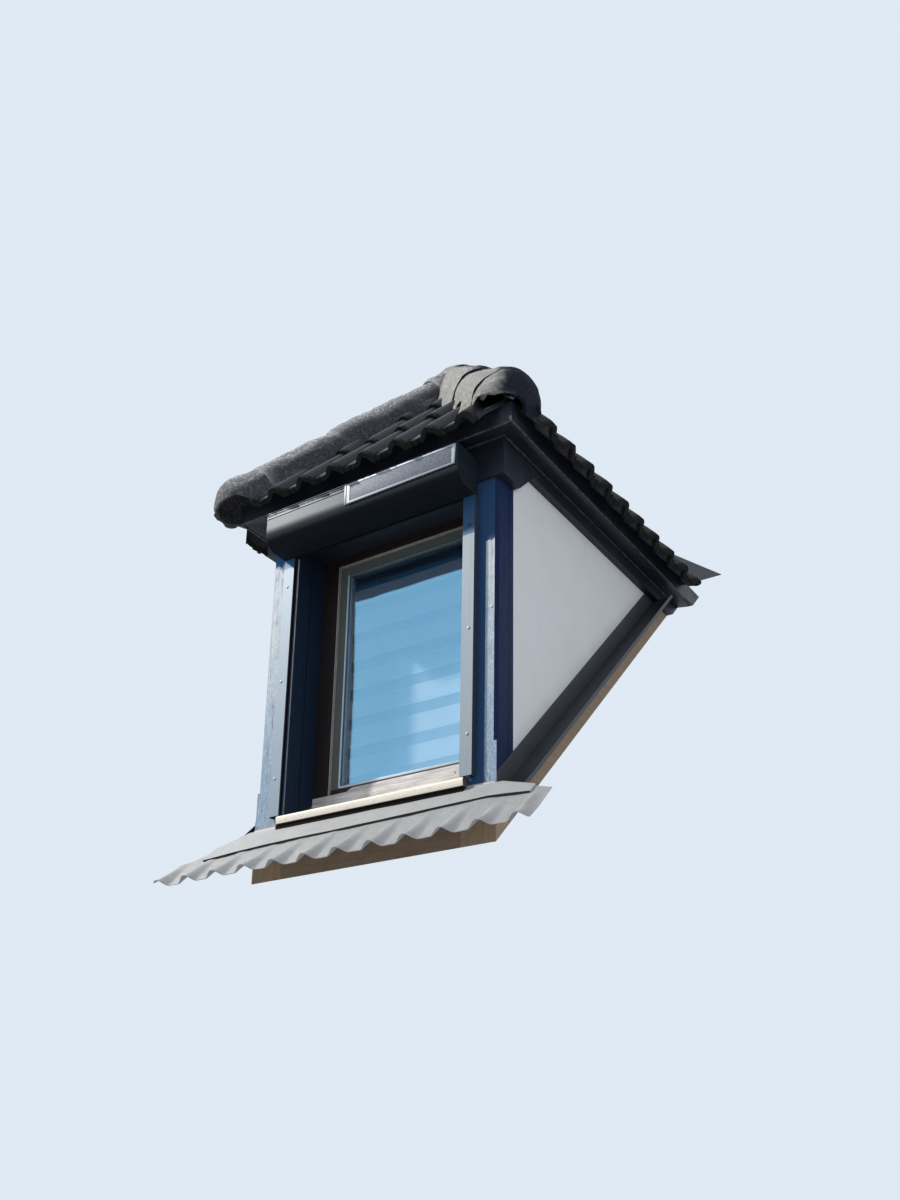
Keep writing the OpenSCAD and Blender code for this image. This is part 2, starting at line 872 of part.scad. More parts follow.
placed() on_left() post();  // left_post
placed() post();  // right_post
placed() lintel();
placed() {  // side_wall_plates
    wall_plate();
    on_left() wall_plate();
}
placed() front_wall_plate();
placed() {  // sole_plates
    sole_plate();
    on_left() sole_plate();
}
placed() front_sole_beam();
placed() on_left() cheek();  // left_cheek
placed() cheek();  // right_cheek
placed() {  // cheek_linings
    cheek_lining();
    on_left() cheek_lining();
}
placed() ceiling_lining();
placed() ridge_board();
placed() {  // hip_rafters
    hip_rafter();
    on_left() hip_rafter();
}
placed() rafters();
placed() on_left() side_deck();  // left_roof_deck
placed() side_deck();  // right_roof_deck
placed() front_deck();  // front_roof_deck
placed() on_left() side_fascia();  // left_fascia
placed() side_fascia();  // right_fascia
placed() front_fascia();
placed() {  // soffits
    side_soffit();
    on_left() side_soffit();
    front_soffit();
}
placed() on_left() side_frieze();  // left_frieze_board
placed() side_frieze();  // right_frieze_board
placed() front_frieze();  // front_frieze_board
placed() on_left() side_tiles();  // left_tiles
placed() side_tiles();  // right_tiles
placed() front_tiles();
placed() on_left() hip_caps(left_stops);  // left_hip_caps
placed() hip_caps(right_stops);  // right_hip_caps
placed() ridge_caps();
placed() {  // valley_sheets
    valley_sheet();
    on_left() valley_sheet();
}
placed() apron();
placed() apron_cover_strip();
placed() {  // side_flashings
    side_flashing();
    on_left() side_flashing();
}
placed() window_frame();
placed() window_sash();
placed() window_glass();
placed() window_bottom_rail();
placed() window_sill();
placed() blind_cassette();
placed() zebra_blind();
placed() shutter_box();
placed() solar_panel();
placed() on_left() guide_rail();  // left_guide_rail
placed() guide_rail();  // right_guide_rail
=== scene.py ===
import math
import random

import bpy
from mathutils import Matrix, Vector, noise


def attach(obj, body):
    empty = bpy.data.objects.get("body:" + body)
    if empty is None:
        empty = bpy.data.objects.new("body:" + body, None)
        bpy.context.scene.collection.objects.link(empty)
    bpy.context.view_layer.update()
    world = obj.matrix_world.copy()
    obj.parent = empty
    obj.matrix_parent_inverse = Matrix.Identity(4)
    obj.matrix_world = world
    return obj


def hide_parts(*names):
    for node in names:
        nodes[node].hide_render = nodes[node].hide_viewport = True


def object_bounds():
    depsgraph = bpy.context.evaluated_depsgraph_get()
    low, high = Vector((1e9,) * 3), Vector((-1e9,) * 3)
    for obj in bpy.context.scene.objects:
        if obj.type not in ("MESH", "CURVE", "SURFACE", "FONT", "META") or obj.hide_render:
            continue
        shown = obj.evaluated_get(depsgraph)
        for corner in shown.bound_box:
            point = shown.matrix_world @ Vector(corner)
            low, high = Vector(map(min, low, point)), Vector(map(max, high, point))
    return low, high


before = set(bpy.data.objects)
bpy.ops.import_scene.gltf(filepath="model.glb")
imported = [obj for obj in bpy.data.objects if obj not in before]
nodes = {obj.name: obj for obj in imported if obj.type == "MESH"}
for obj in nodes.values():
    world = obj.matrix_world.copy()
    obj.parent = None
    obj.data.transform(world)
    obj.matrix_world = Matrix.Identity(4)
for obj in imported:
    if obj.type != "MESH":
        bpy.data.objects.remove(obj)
cad_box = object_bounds()

# Camera, room, floor and lamps. The dormer is seen from below its sill, from the front right, in
# an even pale room with a pale floor. A soft lamp stands high to the front left, where the painted
# fronts throw its light back, and a wide, weak one stands to the right.
camera_data = bpy.data.cameras.new("camera")
camera_data.lens = 37.014
camera_data.shift_y = 0.18
camera = bpy.data.objects.new("camera", camera_data)
bpy.context.scene.collection.objects.link(camera)
camera.location = (2.5825, -3.4217, -1.3189)
camera.rotation_euler = [math.radians(a) for a in (108.467, -0.982, 33.554)]
bpy.context.scene.camera = camera
bpy.context.scene.view_settings.view_transform = "Standard"


class Value:
    """A number in a material, so that a finish can be written as sums of patterns."""

    def __init__(self, tree, socket):
        self.tree = tree
        self.socket = socket

    def math(self, operation, first, second):
        step = self.tree.nodes.new("ShaderNodeMath")
        step.operation = operation
        for place, item in enumerate((first, second)):
            if isinstance(item, Value):
                self.tree.links.new(item.socket, step.inputs[place])
            elif item is not None:
                step.inputs[place].default_value = item
        return Value(self.tree, step.outputs[0])

    def __add__(self, other):
        return self.math("ADD", self, other)

    def __radd__(self, other):
        return self.math("ADD", other, self)

    def __sub__(self, other):
        return self.math("SUBTRACT", self, other)

    def __rsub__(self, other):
        return self.math("SUBTRACT", other, self)

    def __mul__(self, other):
        return self.math("MULTIPLY", self, other)

    def __rmul__(self, other):
        return self.math("MULTIPLY", other, self)

    def __pow__(self, other):
        return self.math("POWER", self, other)

    def __mod__(self, other):
        return self.math("FLOORED_MODULO", self, other)

    def __abs__(self):
        return self.math("ABSOLUTE", self, None)

    def __or__(self, other):
        return self.math("MAXIMUM", self, other)


class Finish:
    """One material of the dormer, or the room. node() makes any node, and paint() sets the shader."""

    def __init__(self, name, kind=bpy.data.materials):
        self.material = kind.new(name)
        self.material.use_nodes = True
        self.tree = self.material.node_tree
        self.shader = self.tree.nodes.get("Principled BSDF")

    def node(self, kind, inputs=(), out=0, **settings):
        made = self.tree.nodes.new("ShaderNode" + kind)
        for name, value in settings.items():
            setattr(made, name, value)
        for name, value in dict(inputs).items():
            if isinstance(value, Value):
                self.tree.links.new(value.socket, made.inputs[name])
            else:
                made.inputs[name].default_value = value
        return Value(self.tree, made.outputs[out])

    def place(self, axes=""):
        """Object coordinates as a vector, and the single axes that are named."""
        where = self.node("TexCoord", out="Object")
        return (where, *(self.part(where, axis) for axis in axes)) if axes else where

    def part(self, vector, axis):
        return self.node("SeparateXYZ", {0: vector}, out=axis)

    def facing(self, axis):
        """How far the surface looks along an axis: 1 along it, -1 the other way."""
        return self.part(self.node("NewGeometry", out="Normal"), axis)

    def noise(self, where, scale, detail=4.0, rough=0.55, stretch=(1, 1, 1), shift=(0, 0, 0)):
        moved = self.node("Mapping", {"Vector": where, "Scale": stretch, "Location": shift})
        return self.node("TexNoise", {"Vector": moved, "Scale": scale, "Detail": detail,
                                      "Roughness": rough})

    def band(self, value, low, high):
        """0 below low, 1 above high, and smooth between them."""
        return self.node("MapRange", {"Value": value, "From Min": low, "From Max": high},
                         interpolation_type="SMOOTHSTEP")

    def mix(self, factor, first, second):
        """Two colours, blended by a factor."""
        first, second = (tone if isinstance(tone, Value) else (*tone, 1) for tone in (first, second))
        return self.node("Mix", {0: factor, 6: first, 7: second}, data_type="RGBA", out=2)

    def bump(self, height, distance, strength=1.0, over=None):
        inputs = {"Height": height, "Distance": distance, "Strength": strength}
        if over:
            inputs["Normal"] = over
        return self.node("Bump", inputs)

    def paint(self, **inputs):
        for name, value in inputs.items():
            socket = self.shader.inputs[name.replace("_", " ")]
            if isinstance(value, Value):
                self.tree.links.new(value.socket, socket)
            elif isinstance(value, tuple):
                socket.default_value = (*value, 1)
            else:
                socket.default_value = value
        return self


def started(add, **how):
    """A new mesh to shape, with nothing else selected."""
    bpy.ops.object.select_all(action="DESELECT")
    add(**how)
    return bpy.context.object


room = Finish("pale_room", bpy.data.worlds)
bpy.context.scene.world = room.material
direct, glossy, through = (room.node("LightPath", out=ray) for ray in
                           ("Is Camera Ray", "Is Glossy Ray", "Is Transmission Ray"))
seen = room.node("Background", {"Color": (0.74, 0.82, 0.91, 1), "Strength": 1.0})
fill = room.node("Background", {"Color": (0.72, 0.82, 1.0, 1), "Strength": 0.44})
picked = room.node("MixShader", {0: direct | glossy | through, 1: fill, 2: seen})
room.tree.links.new(picked.socket, room.tree.nodes["World Output"].inputs["Surface"])

floor_z = -1.9
floor = started(bpy.ops.mesh.primitive_plane_add, size=40, location=(0, 0, floor_z))
floor.name = "pale_floor"
floor_paint = Finish("pale_floor").paint(Base_Color=(0.62, 0.63, 0.64), Roughness=0.9)
floor.data.materials.append(floor_paint.material)

for lamp_name, place, size, power, tint in (
    ("key_lamp", (-6.12, -3.75, 6.83), 0.4, 1120, (1.0, 0.98, 0.95)),
    ("side_lamp", (6.5, -1.2, 1.6), 4.0, 150, (0.96, 0.98, 1.0)),
):
    lamp_data = bpy.data.lights.new(lamp_name, "AREA")
    lamp_data.size = size
    lamp_data.energy = power
    lamp_data.color = tint
    lamp = bpy.data.objects.new(lamp_name, lamp_data)
    bpy.context.scene.collection.objects.link(lamp)
    lamp.location = place
    aim = Vector((0, 0.2, 0.9)) - Vector(place)
    lamp.rotation_euler = aim.to_track_quat("-Z", "Y").to_euler()

# Posts: two square timber posts with a chamfered outer edge, under old navy gloss paint, with
# cracks along the grain and flaking at the feet. Their fronts are painted a pale blue grey of sun
# glare on weathered paint, up to the painted shadow lines of the eave and of the right guide rail;
# above and beside these lines the fronts are painted a sky-lit blue shade, and the sides keep the
# navy.
front_y = -0.105  # the posts' front faces
foot_z = 0.1071  # the level of their front feet


def dress(finish, *names):
    """Gives CAD nodes their finish."""
    for name in names:
        mesh = nodes[name].data
        mesh.materials.clear()
        mesh.materials.append(finish.material)


post_paint = Finish("post_paint")
where, x, y, z = post_paint.place("XYZ")
front = post_paint.band(0.0 - post_paint.facing("Y"), 0.75, 0.95)
grain = post_paint.noise(where, 9, 6, 0.6, (14, 14, 0.7))
mottle = post_paint.noise(where, 60, 5, 0.7, (1, 1, 0.5))
patches = post_paint.noise(where, 5, 5, 0.6, (1, 1, 0.6))
cracks = post_paint.band(post_paint.noise(where, 13, 3, 0.5, (11, 11, 0.45), (3, 1, 2)), 0.63, 0.67)
low_down = 1.0 - post_paint.band(z, foot_z - 0.05, foot_z + 0.50)
flaking = post_paint.noise(where, 34, 6, 0.65, (1, 1, 0.45)) + low_down * 0.12
flakes = post_paint.band(flaking, 0.70, 0.73)
joint = 1.0 - post_paint.band(abs(y - (front_y + 0.080)), 0.0015, 0.003)
inside = 1.0 - post_paint.band(abs(x), 0.401, 0.403)
buried = 1.0 - post_paint.band((z - foot_z) - (y - front_y) + mottle * 0.02, -0.035, -0.02)
right = post_paint.band(x, -0.02, 0.02)
ragged = z - foot_z + (mottle - 0.5) * 0.05
# Painted sunlight: below the eave's shadow line, and on the right post outside the rail's shadow.
left_painted_sunlight = (1.0 - right) * (1.0 - post_paint.band(ragged, 1.126, 1.136))
right_painted_sunlight = post_paint.band(x, 0.489, 0.494) * (1.0 - post_paint.band(ragged, 0.928, 0.938))
painted_sunlight = front * (left_painted_sunlight | right_painted_sunlight)
high_up = post_paint.band(z, foot_z + 0.1, foot_z + 1.0)
specks = post_paint.band(post_paint.noise(where, 150, 4, 0.7, (1, 1, 0.6)), 0.50, 0.62)
# Pale blue grey, paler higher up: weathered paint under painted sun glare.
glare_on_weathered_paint = post_paint.mix(high_up, (0.28, 0.38, 0.48), (0.55, 0.60, 0.62))
glare_on_weathered_paint = post_paint.mix(specks * 0.45, glare_on_weathered_paint, (0.72, 0.75, 0.76))
streaks = post_paint.band(grain * 0.5 + mottle * 0.5, 0.45, 0.70)
glare_on_weathered_paint = post_paint.mix(streaks * 0.7, glare_on_weathered_paint, (0.17, 0.25, 0.34))
navy = post_paint.mix(patches, (0.002, 0.009, 0.036), (0.006, 0.018, 0.062))
navy = post_paint.mix(inside, navy, (0.009, 0.018, 0.036))
# Painted shade: a sky-lit blue on the fronts under the eave and beside the right guide rail.
fronts = post_paint.mix(patches, (0.018, 0.055, 0.130), (0.030, 0.080, 0.175))
fronts = post_paint.mix(right, (0.035, 0.125, 0.270), fronts)
coat = post_paint.mix(painted_sunlight, post_paint.mix(front, navy, fronts), glare_on_weathered_paint)
coat = post_paint.mix(cracks * front * (0.35 + low_down * 0.6), coat, (0.05, 0.07, 0.12))
coat = post_paint.mix(flakes * painted_sunlight * 0.8, coat, (0.34, 0.33, 0.31))
coat = post_paint.mix(joint * (1.0 - front), coat, (0.003, 0.004, 0.006))
coat = post_paint.mix(buried, coat, post_paint.mix(grain, (0.22, 0.15, 0.09), (0.40, 0.30, 0.20)))
relief = post_paint.bump(grain * 0.4 + mottle * 0.3 - cracks * 0.8 - flakes * 0.5 - joint, 0.0016)
post_paint.paint(Base_Color=coat, Roughness=0.36 + mottle * 0.3, Normal=relief,
                 Specular_IOR_Level=0.10)
dress(post_paint, "left_post", "right_post")

# Boards round the head: lintel, friezes, fascias and soffits, in black-blue paint with brush
# marks and a little dust. Thin beads cover the lower edge of the fascias and the joint between
# soffit and frieze; their mottled grey paint is worn, and lightened as a painted highlight where
# these edges glint.
board_paint = Finish("dark_paint")
where = board_paint.place()
brush = board_paint.noise(where, 16, 5, 0.6, (1, 1, 7))
dust = board_paint.band(board_paint.noise(where, 6, 6, 0.65), 0.45, 0.75)
coat = board_paint.mix(brush, (0.007, 0.009, 0.015), (0.017, 0.021, 0.031))
coat = board_paint.mix(dust * 0.25, coat, (0.045, 0.050, 0.060))
board_paint.paint(Base_Color=coat, Roughness=0.42 + dust * 0.2, Normal=board_paint.bump(brush, 0.0008),
                  Specular_IOR_Level=0.3, Coat_Weight=0.08, Coat_Roughness=0.3)
dress(board_paint, "lintel", "left_fascia", "right_fascia", "front_fascia", "soffits",
      "left_frieze_board", "right_frieze_board", "front_frieze_board")


def eased(piece, width, segments=2):
    """Rounds the edges of a piece."""
    edge = piece.modifiers.new("edge", "BEVEL")
    edge.width = width
    edge.segments = segments
    bpy.ops.object.modifier_apply(modifier="edge")
    return piece


def bar(across, deep, high, edge, segments=2):
    """A straight piece with rounded edges, given where it starts and ends in X, Y and Z."""
    piece = started(bpy.ops.mesh.primitive_cube_add, size=1)
    for vertex in piece.data.vertices:
        vertex.co = [start + (c + 0.5) * (end - start)
                     for (start, end), c in zip((across, deep, high), vertex.co)]
    return eased(piece, edge, segments)


def joined(pieces):
    """Makes several pieces one, and the active one."""
    bpy.ops.object.select_all(action="DESELECT")
    for piece in pieces:
        piece.select_set(True)
    bpy.context.view_layer.objects.active = pieces[0]
    if len(pieces) > 1:
        bpy.ops.object.join()
    return bpy.context.object


def whole(name, pieces, finish):
    """Joins pieces into one, gives it its finish and fixes it to the dormer."""
    made = joined(pieces)
    made.name = name
    made.data.materials.clear()
    made.data.materials.append(finish.material)
    bpy.ops.object.shade_smooth_by_angle(angle=math.radians(40))
    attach(made, "root")
    return made


bead_paint = Finish("bead_paint")
# Worn paint, lightened as a painted highlight of the glint along the edges.
wear_and_highlight = bead_paint.band(bead_paint.noise(bead_paint.place(), 70, 5, 0.7), 0.40, 0.62)
coat = bead_paint.mix(wear_and_highlight, (0.020, 0.024, 0.032), (0.085, 0.095, 0.110))
bead_paint.paint(Base_Color=coat, Roughness=0.5, Normal=bead_paint.bump(wear_and_highlight, 0.0005),
                 Specular_IOR_Level=0.3)
fascia_x = 0.655
fascia_y = front_y - 0.095
fascia_bead = 0.007
fascia_low = (foot_z + 1.326, foot_z + 1.331)
frieze_x = 0.570
frieze_y = front_y - 0.010
frieze_bead = 0.008
frieze_high = (foot_z + 1.342, foot_z + 1.349)
bead_back = front_y + 1.46
beads = [bar((-fascia_x, fascia_x), (fascia_y, fascia_y + fascia_bead), fascia_low, 0.0012),
         bar((-frieze_x, frieze_x), (frieze_y - frieze_bead, frieze_y), frieze_high, 0.0015)]
for side in (-1, 1):
    outer = sorted((side * fascia_x, side * (fascia_x - fascia_bead)))
    inner = sorted((side * frieze_x, side * (frieze_x + frieze_bead)))
    beads.append(bar(outer, (fascia_y + fascia_bead, bead_back), fascia_low, 0.0012))
    beads.append(bar(inner, (frieze_y - frieze_bead, bead_back), frieze_high, 0.0015))
whole("eave_beads", beads, bead_paint)

# Hidden carpentry: sawn softwood plates, rafters and boards, seen from behind and below, and the
# painted boards that line the room inside.
sawn = Finish("structural_timber")
where = sawn.place()
rings = sawn.noise(where, 7, 6, 0.6, (2, 0.6, 9))
knots = sawn.band(sawn.node("TexVoronoi", {"Vector": where, "Scale": 6}, out="Distance"), 0.06, 0.14)
coat = sawn.mix(rings, (0.13, 0.085, 0.050), (0.30, 0.215, 0.135))
coat = sawn.mix(1.0 - knots, coat, (0.07, 0.04, 0.025))
dress(sawn.paint(Base_Color=coat, Roughness=0.75, Normal=sawn.bump(rings, 0.002)),
      "side_wall_plates", "front_wall_plate", "sole_plates", "front_sole_beam", "ridge_board",
      "hip_rafters", "rafters")

roof_boards = Finish("roof_boards")
where, z = roof_boards.place("Z")
fibre = roof_boards.noise(where, 9, 6, 0.6, (9, 0.6, 9))
gaps = 1.0 - roof_boards.band(abs(z % 0.12 - 0.06), 0.002, 0.004)
coat = roof_boards.mix(fibre, (0.34, 0.23, 0.13), (0.60, 0.46, 0.29))
coat = roof_boards.mix(gaps, coat, (0.03, 0.02, 0.015))
relief = roof_boards.bump(fibre * 0.5 - gaps, 0.003)
dress(roof_boards.paint(Base_Color=coat, Roughness=0.8, Normal=relief),
      "left_roof_deck", "right_roof_deck", "front_roof_deck")

lining = Finish("lining_board")
where, x = lining.place("X")
boards = 1.0 - lining.band(abs(x % 0.14 - 0.07), 0.0015, 0.003)
coat = lining.mix(lining.noise(where, 5, 5, 0.55), (0.62, 0.58, 0.50), (0.72, 0.68, 0.61))
coat = lining.mix(boards, coat, (0.25, 0.22, 0.18))
dress(lining.paint(Base_Color=coat, Roughness=0.6, Normal=lining.bump(0.0 - boards, 0.003)),
      "cheek_linings", "ceiling_lining")

# Cheeks: fine white render on the side walls, smooth with a float, slightly uneven, with grey
# runs under the eaves, and darker towards the foot, just above the flashing.
render = Finish("render")
where, y, z = render.place("YZ")
floated = render.noise(where, 6, 6, 0.6)
grit = render.noise(where, 420, 3, 0.7)
runs = render.band(render.noise(where, 8, 4, 0.6, (1, 3, 0.35)), 0.55, 0.8)
above_slope = (z - foot_z) - (y - front_y)
# Darker towards the foot, just above the flashing.
darker_foot = 1.0 - render.band(above_slope + floated * 0.05, 0.03, 0.14)
under_eave = render.band(z, foot_z + 1.10, foot_z + 1.29)
coat = render.mix(floated, (0.585, 0.585, 0.58), (0.655, 0.655, 0.645))
coat = render.mix(runs * (0.12 + under_eave * 0.3), coat, (0.42, 0.42, 0.40))
coat = render.mix(darker_foot * 0.45, coat, (0.32, 0.32, 0.31))
relief = render.bump(grit, 0.0007, 0.8, render.bump(floated, 0.004))
dress(render.paint(Base_Color=coat, Roughness=0.85, Normal=relief), "left_cheek", "right_cheek")

# Roof tiles: interlocking concrete tiles, each with two round rolls, laid in four courses on
# battens. The faces are smooth and slate grey, with painted shade on the flanks that face +X, and
# the thick lower ends are rough and mossy, taken near black as painted shade under each nose.
tile_finish = Finish("roof_tile")
where = tile_finish.place()
nose, shade = (tile_finish.node("Attribute", attribute_name=mark, out="Fac")
               for mark in ("nose", "shade"))
cloud = tile_finish.noise(where, 7, 6, 0.6)
# Painted shade on the sides that face +X.
painted_shade_mask = tile_finish.band(tile_finish.facing("X"), 0.02, 0.45)
pits = tile_finish.noise(where, 190, 4, 0.7)
lichen = tile_finish.band(tile_finish.noise(where, 34, 5, 0.6, shift=(4, 2, 7)), 0.66, 0.72)
moss_and_painted_shade = tile_finish.band(nose + tile_finish.noise(where, 60, 5, 0.7) * 0.9, 0.80, 1.15)
coat = tile_finish.mix(cloud, (0.045, 0.047, 0.052), (0.095, 0.098, 0.104))
coat = tile_finish.mix(shade * 0.5, coat, (0.120, 0.120, 0.123))
coat = tile_finish.mix(lichen * 0.5, coat, (0.20, 0.20, 0.18))
coat = tile_finish.mix(painted_shade_mask * 0.85, coat, (0.010, 0.010, 0.013))
# The mossy crust of the lower ends, near black as painted shade under each nose.
crust_and_painted_shade = tile_finish.mix(pits, (0.003, 0.003, 0.003), (0.018, 0.017, 0.016))
coat = tile_finish.mix(moss_and_painted_shade, coat, crust_and_painted_shade)
relief = tile_finish.bump(pits * (0.3 + moss_and_painted_shade), 0.003, 1.0, tile_finish.bump(cloud, 0.003))
tile_finish.paint(Base_Color=coat, Roughness=0.55 + moss_and_painted_shade * 0.35, Specular_IOR_Level=0.2, Normal=relief)

tile_cover = 0.298  # from one tile to the next across the slope
tile_gauge = 0.335  # and up the slope
tile_courses = 4
tile_over = 0.030
tile_wall = 0.015
roll_rise = 0.0285
roll_half = 0.036
groove_half = 0.0125
moss_long = 0.055
ragged_out = 0.014  # how far the ragged lower ends stray along the slope
ragged_up = 0.006  # and above it
across_steps = 60
along_steps = 8
dice = random.Random(7)


def grid(across, along):
    """A net of faces a metre square, to be laid in a shape."""
    return started(bpy.ops.mesh.primitive_grid_add, x_subdivisions=across, y_subdivisions=along, size=1)


def walled(piece, thickness, offset=0):
    """Gives a net its thickness, below its face at offset -1."""
    wall = piece.modifiers.new("wall", "SOLIDIFY")
    wall.thickness = thickness
    wall.offset = offset
    bpy.ops.object.modifier_apply(modifier="wall")


def trimmed(piece, cuts=(), merge=0.0):
    """Cuts the active piece off at planes (point, normal), and recalculates its normals."""
    for point, normal in cuts:
        bpy.ops.object.mode_set(mode="EDIT")
        bpy.ops.mesh.select_all(action="SELECT")
        bpy.ops.mesh.bisect(plane_co=point, plane_no=normal, use_fill=True, clear_outer=True)
        bpy.ops.object.mode_set(mode="OBJECT")
    bpy.ops.object.mode_set(mode="EDIT")
    bpy.ops.mesh.select_all(action="SELECT")
    if merge:
        bpy.ops.mesh.remove_doubles(threshold=merge)
    bpy.ops.mesh.normals_make_consistent(inside=False)
    bpy.ops.object.mode_set(mode="OBJECT")
    return piece


def tile_height(u):
    """Height of a tile's face over its pan, u metres across the tile: two rolls and a groove."""
    rise = 0.0
    for middle in (tile_cover * 0.25, tile_cover * 0.75):
        off = abs(u - middle)
        if off < roll_half:
            rise = max(rise, roll_rise * math.cos(off / roll_half * math.pi / 2) ** 0.8)
        beside = abs(u - middle - roll_half - 0.012)
        if beside < groove_half:
            rise += 0.0055 * math.cos(beside / groove_half * math.pi * 1.5)
    return rise


def tile_slope(name, origin, across, up_slope, columns, first, cuts):
    """All the tiles of one slope, seen from outside it: origin is the left end of its foot.

    first is where the first tile starts, and cuts are the planes that trim the slope."""
    out = across.cross(up_slope).normalized()
    turn = Matrix((across, up_slope, out)).transposed().to_4x4()
    turn.translation = origin
    made = []
    for course in range(tile_courses):
        for column in range(columns):
            tile = grid(across_steps, along_steps)
            wear = dice.uniform(-1, 1)
            lift = dice.uniform(0, 0.002)
            slip = dice.uniform(-0.004, 0.004)
            noses = tile.data.attributes.new("nose", "FLOAT", "POINT")
            tones = tile.data.attributes.new("shade", "FLOAT", "POINT")
            for point, vertex in enumerate(tile.data.vertices):
                u = (vertex.co.x + 0.5) * tile_cover
                v = vertex.co.y + 0.5
                along = (v * v * 0.35 + v * 0.65) * (tile_gauge + tile_over)
                low = max(0.0, 1 - v * along_steps / 1.5)
                rough = Vector((column * tile_cover + u, course * tile_gauge + along, wear)) * 55
                ragged = noise.noise(rough) * 0.5 + noise.noise(rough * 2.7) * 0.3
                height = tile_height(u) - (tile_wall + 0.001) * along / tile_gauge + lift
                teeth = 0.0022 * (-1) ** point if tile_height(u) < 0.004 and v < 0.01 else 0.0
                vertex.co = Vector((first + column * tile_cover + u,
                                    course * tile_gauge + along + slip + low * ragged * ragged_out + teeth,
                                    height - low * 0.004 + low * ragged * ragged_up - 0.0015))
                noses.data[point].value = max(0.0, 1 - along / moss_long)
                tones.data[point].value = 0.5 + wear * 0.5
            face_points = len(tile.data.vertices)
            walled(tile, tile_wall, -1)
            for vertex in tile.data.vertices[face_points:]:
                along = vertex.co.y - course * tile_gauge
                drop = max(0.0, 1 - max(0.0, along) / 0.035)
                vertex.co.z -= drop * (0.004 + 0.004 * noise.noise(vertex.co * 70))
            tile.data.transform(turn)
            made.append(tile)
    return whole(name, [trimmed(joined(made), cuts)], tile_finish)


main_tilt = math.radians(45)  # the slope that the dormer stands on
roof_tilt = math.radians(48)
eave_x = 0.745
eave_y = front_y - 0.185
eave_z = foot_z + 1.335
apex_y = eave_y + eave_x
apex = Vector((0, apex_y, eave_z + eave_x * math.tan(roof_tilt)))
hip_right = Vector((1, 1, 0)).normalized()
hip_left = Vector((-1, 1, 0)).normalized()
main_foot = Vector((0, front_y, foot_z))
main_out = Vector((0, -math.sin(main_tilt), math.cos(main_tilt)))
back_cut = (main_foot - main_out * 0.040, -main_out)
corner_cut = 0.220
corner_right = (Vector((eave_x - corner_cut, eave_y, eave_z)), Vector((1, -1, 0)).normalized())
corner_left = (Vector((corner_cut - eave_x, eave_y, eave_z)), Vector((-1, -1, 0)).normalized())
rise_front = Vector((0, math.cos(roof_tilt), math.sin(roof_tilt)))
rise_right = Vector((-math.cos(roof_tilt), 0, math.sin(roof_tilt)))
rise_left = Vector((math.cos(roof_tilt), 0, math.sin(roof_tilt)))

front_tiles = tile_slope("front_tile_courses", Vector((-eave_x, eave_y, eave_z)), Vector((1, 0, 0)),
                         rise_front, 6, -0.020,
                         [(apex, hip_right), (apex, hip_left), corner_right, corner_left])
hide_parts("front_tiles")
right_tiles = tile_slope("right_tile_courses", Vector((eave_x, eave_y, eave_z)), Vector((0, 1, 0)),
                         rise_right, 9, 0.0,
                         [(apex, -hip_right), (apex, Vector((-1, 0, 0))), back_cut, corner_right])
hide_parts("right_tiles")
left_tiles = tile_slope("left_tile_courses", Vector((-eave_x, eave_y + 9 * tile_cover, eave_z)),
                        Vector((0, -1, 0)), rise_left, 9, 0.0,
                        [(apex, -hip_left), (apex, Vector((1, 0, 0))), back_cut, corner_left])
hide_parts("left_tiles")

# Hip and ridge caps: round concrete caps over the hips and the ridge, bedded in mortar. They are
# worn to a coarse grey, paler at the lips. The faces that look up and the right hip's caps are
# lightened as painted sunlight, and the faces turned towards +X and the far side of the right hip
# are darkened as painted shade.
cap_finish = Finish("cap_tile")
where, x, y = cap_finish.place("XY")
lip = cap_finish.node("Attribute", attribute_name="lip", out="Fac")
coarse = cap_finish.noise(where, 110, 8, 0.8)
clumps = cap_finish.band(cap_finish.noise(where, 75, 6, 0.7, shift=(2, 1, 0)), 0.42, 0.62)
cloud = cap_finish.noise(where, 9, 6, 0.6)
spots = cap_finish.band(cap_finish.noise(where, 45, 4, 0.6, shift=(1, 5, 3)), 0.62, 0.70)
upward = cap_finish.facing("Z")
right_side = cap_finish.band(x, -0.02, 0.06)
corner = cap_finish.band(x + y - apex_y, -0.02, 0.02) * right_side
corner = corner * (1.0 - cap_finish.band(y, apex_y - 0.30, apex_y - 0.20))
# Painted shade: faces turned towards +X, and the far side of the right hip's caps.
shaded = cap_finish.band(cap_finish.facing("X") - upward * 0.7 * (1.0 - right_side), 0.05, 0.50) | corner
pale = cap_finish.mix(cloud, (0.56, 0.575, 0.62), (0.78, 0.79, 0.84))
palest = cap_finish.mix(clumps * 0.6, (0.52, 0.51, 0.47), (0.36, 0.35, 0.32))
coat = cap_finish.mix(cloud, (0.20, 0.195, 0.20), (0.38, 0.37, 0.375))
# Painted sunlight: faces that look up are paler.
coat = cap_finish.mix(cap_finish.band(upward, 0.10, 0.80) * 0.9, coat, pale)
coat = cap_finish.mix(cap_finish.band(coarse, 0.46, 0.60) * 0.65, coat, (0.055, 0.053, 0.052))
coat = cap_finish.mix(clumps * 0.35, coat, (0.050, 0.048, 0.046))
# Painted sunlight: the right hip's caps are paler.
coat = cap_finish.mix(right_side * 0.85, coat, palest)
coat = cap_finish.mix(spots * 0.35, coat, (0.30, 0.30, 0.27))
coat = cap_finish.mix(lip * 0.85, coat, (0.58, 0.57, 0.54))
coat = cap_finish.mix(shaded * (0.5 + right_side * 0.48), coat, (0.012, 0.015, 0.027))
relief = cap_finish.bump(coarse, 0.005, 1.0, cap_finish.bump(clumps, 0.004))
cap_finish.paint(Base_Color=coat, Roughness=0.9, Specular_IOR_Level=0.15, Normal=relief)

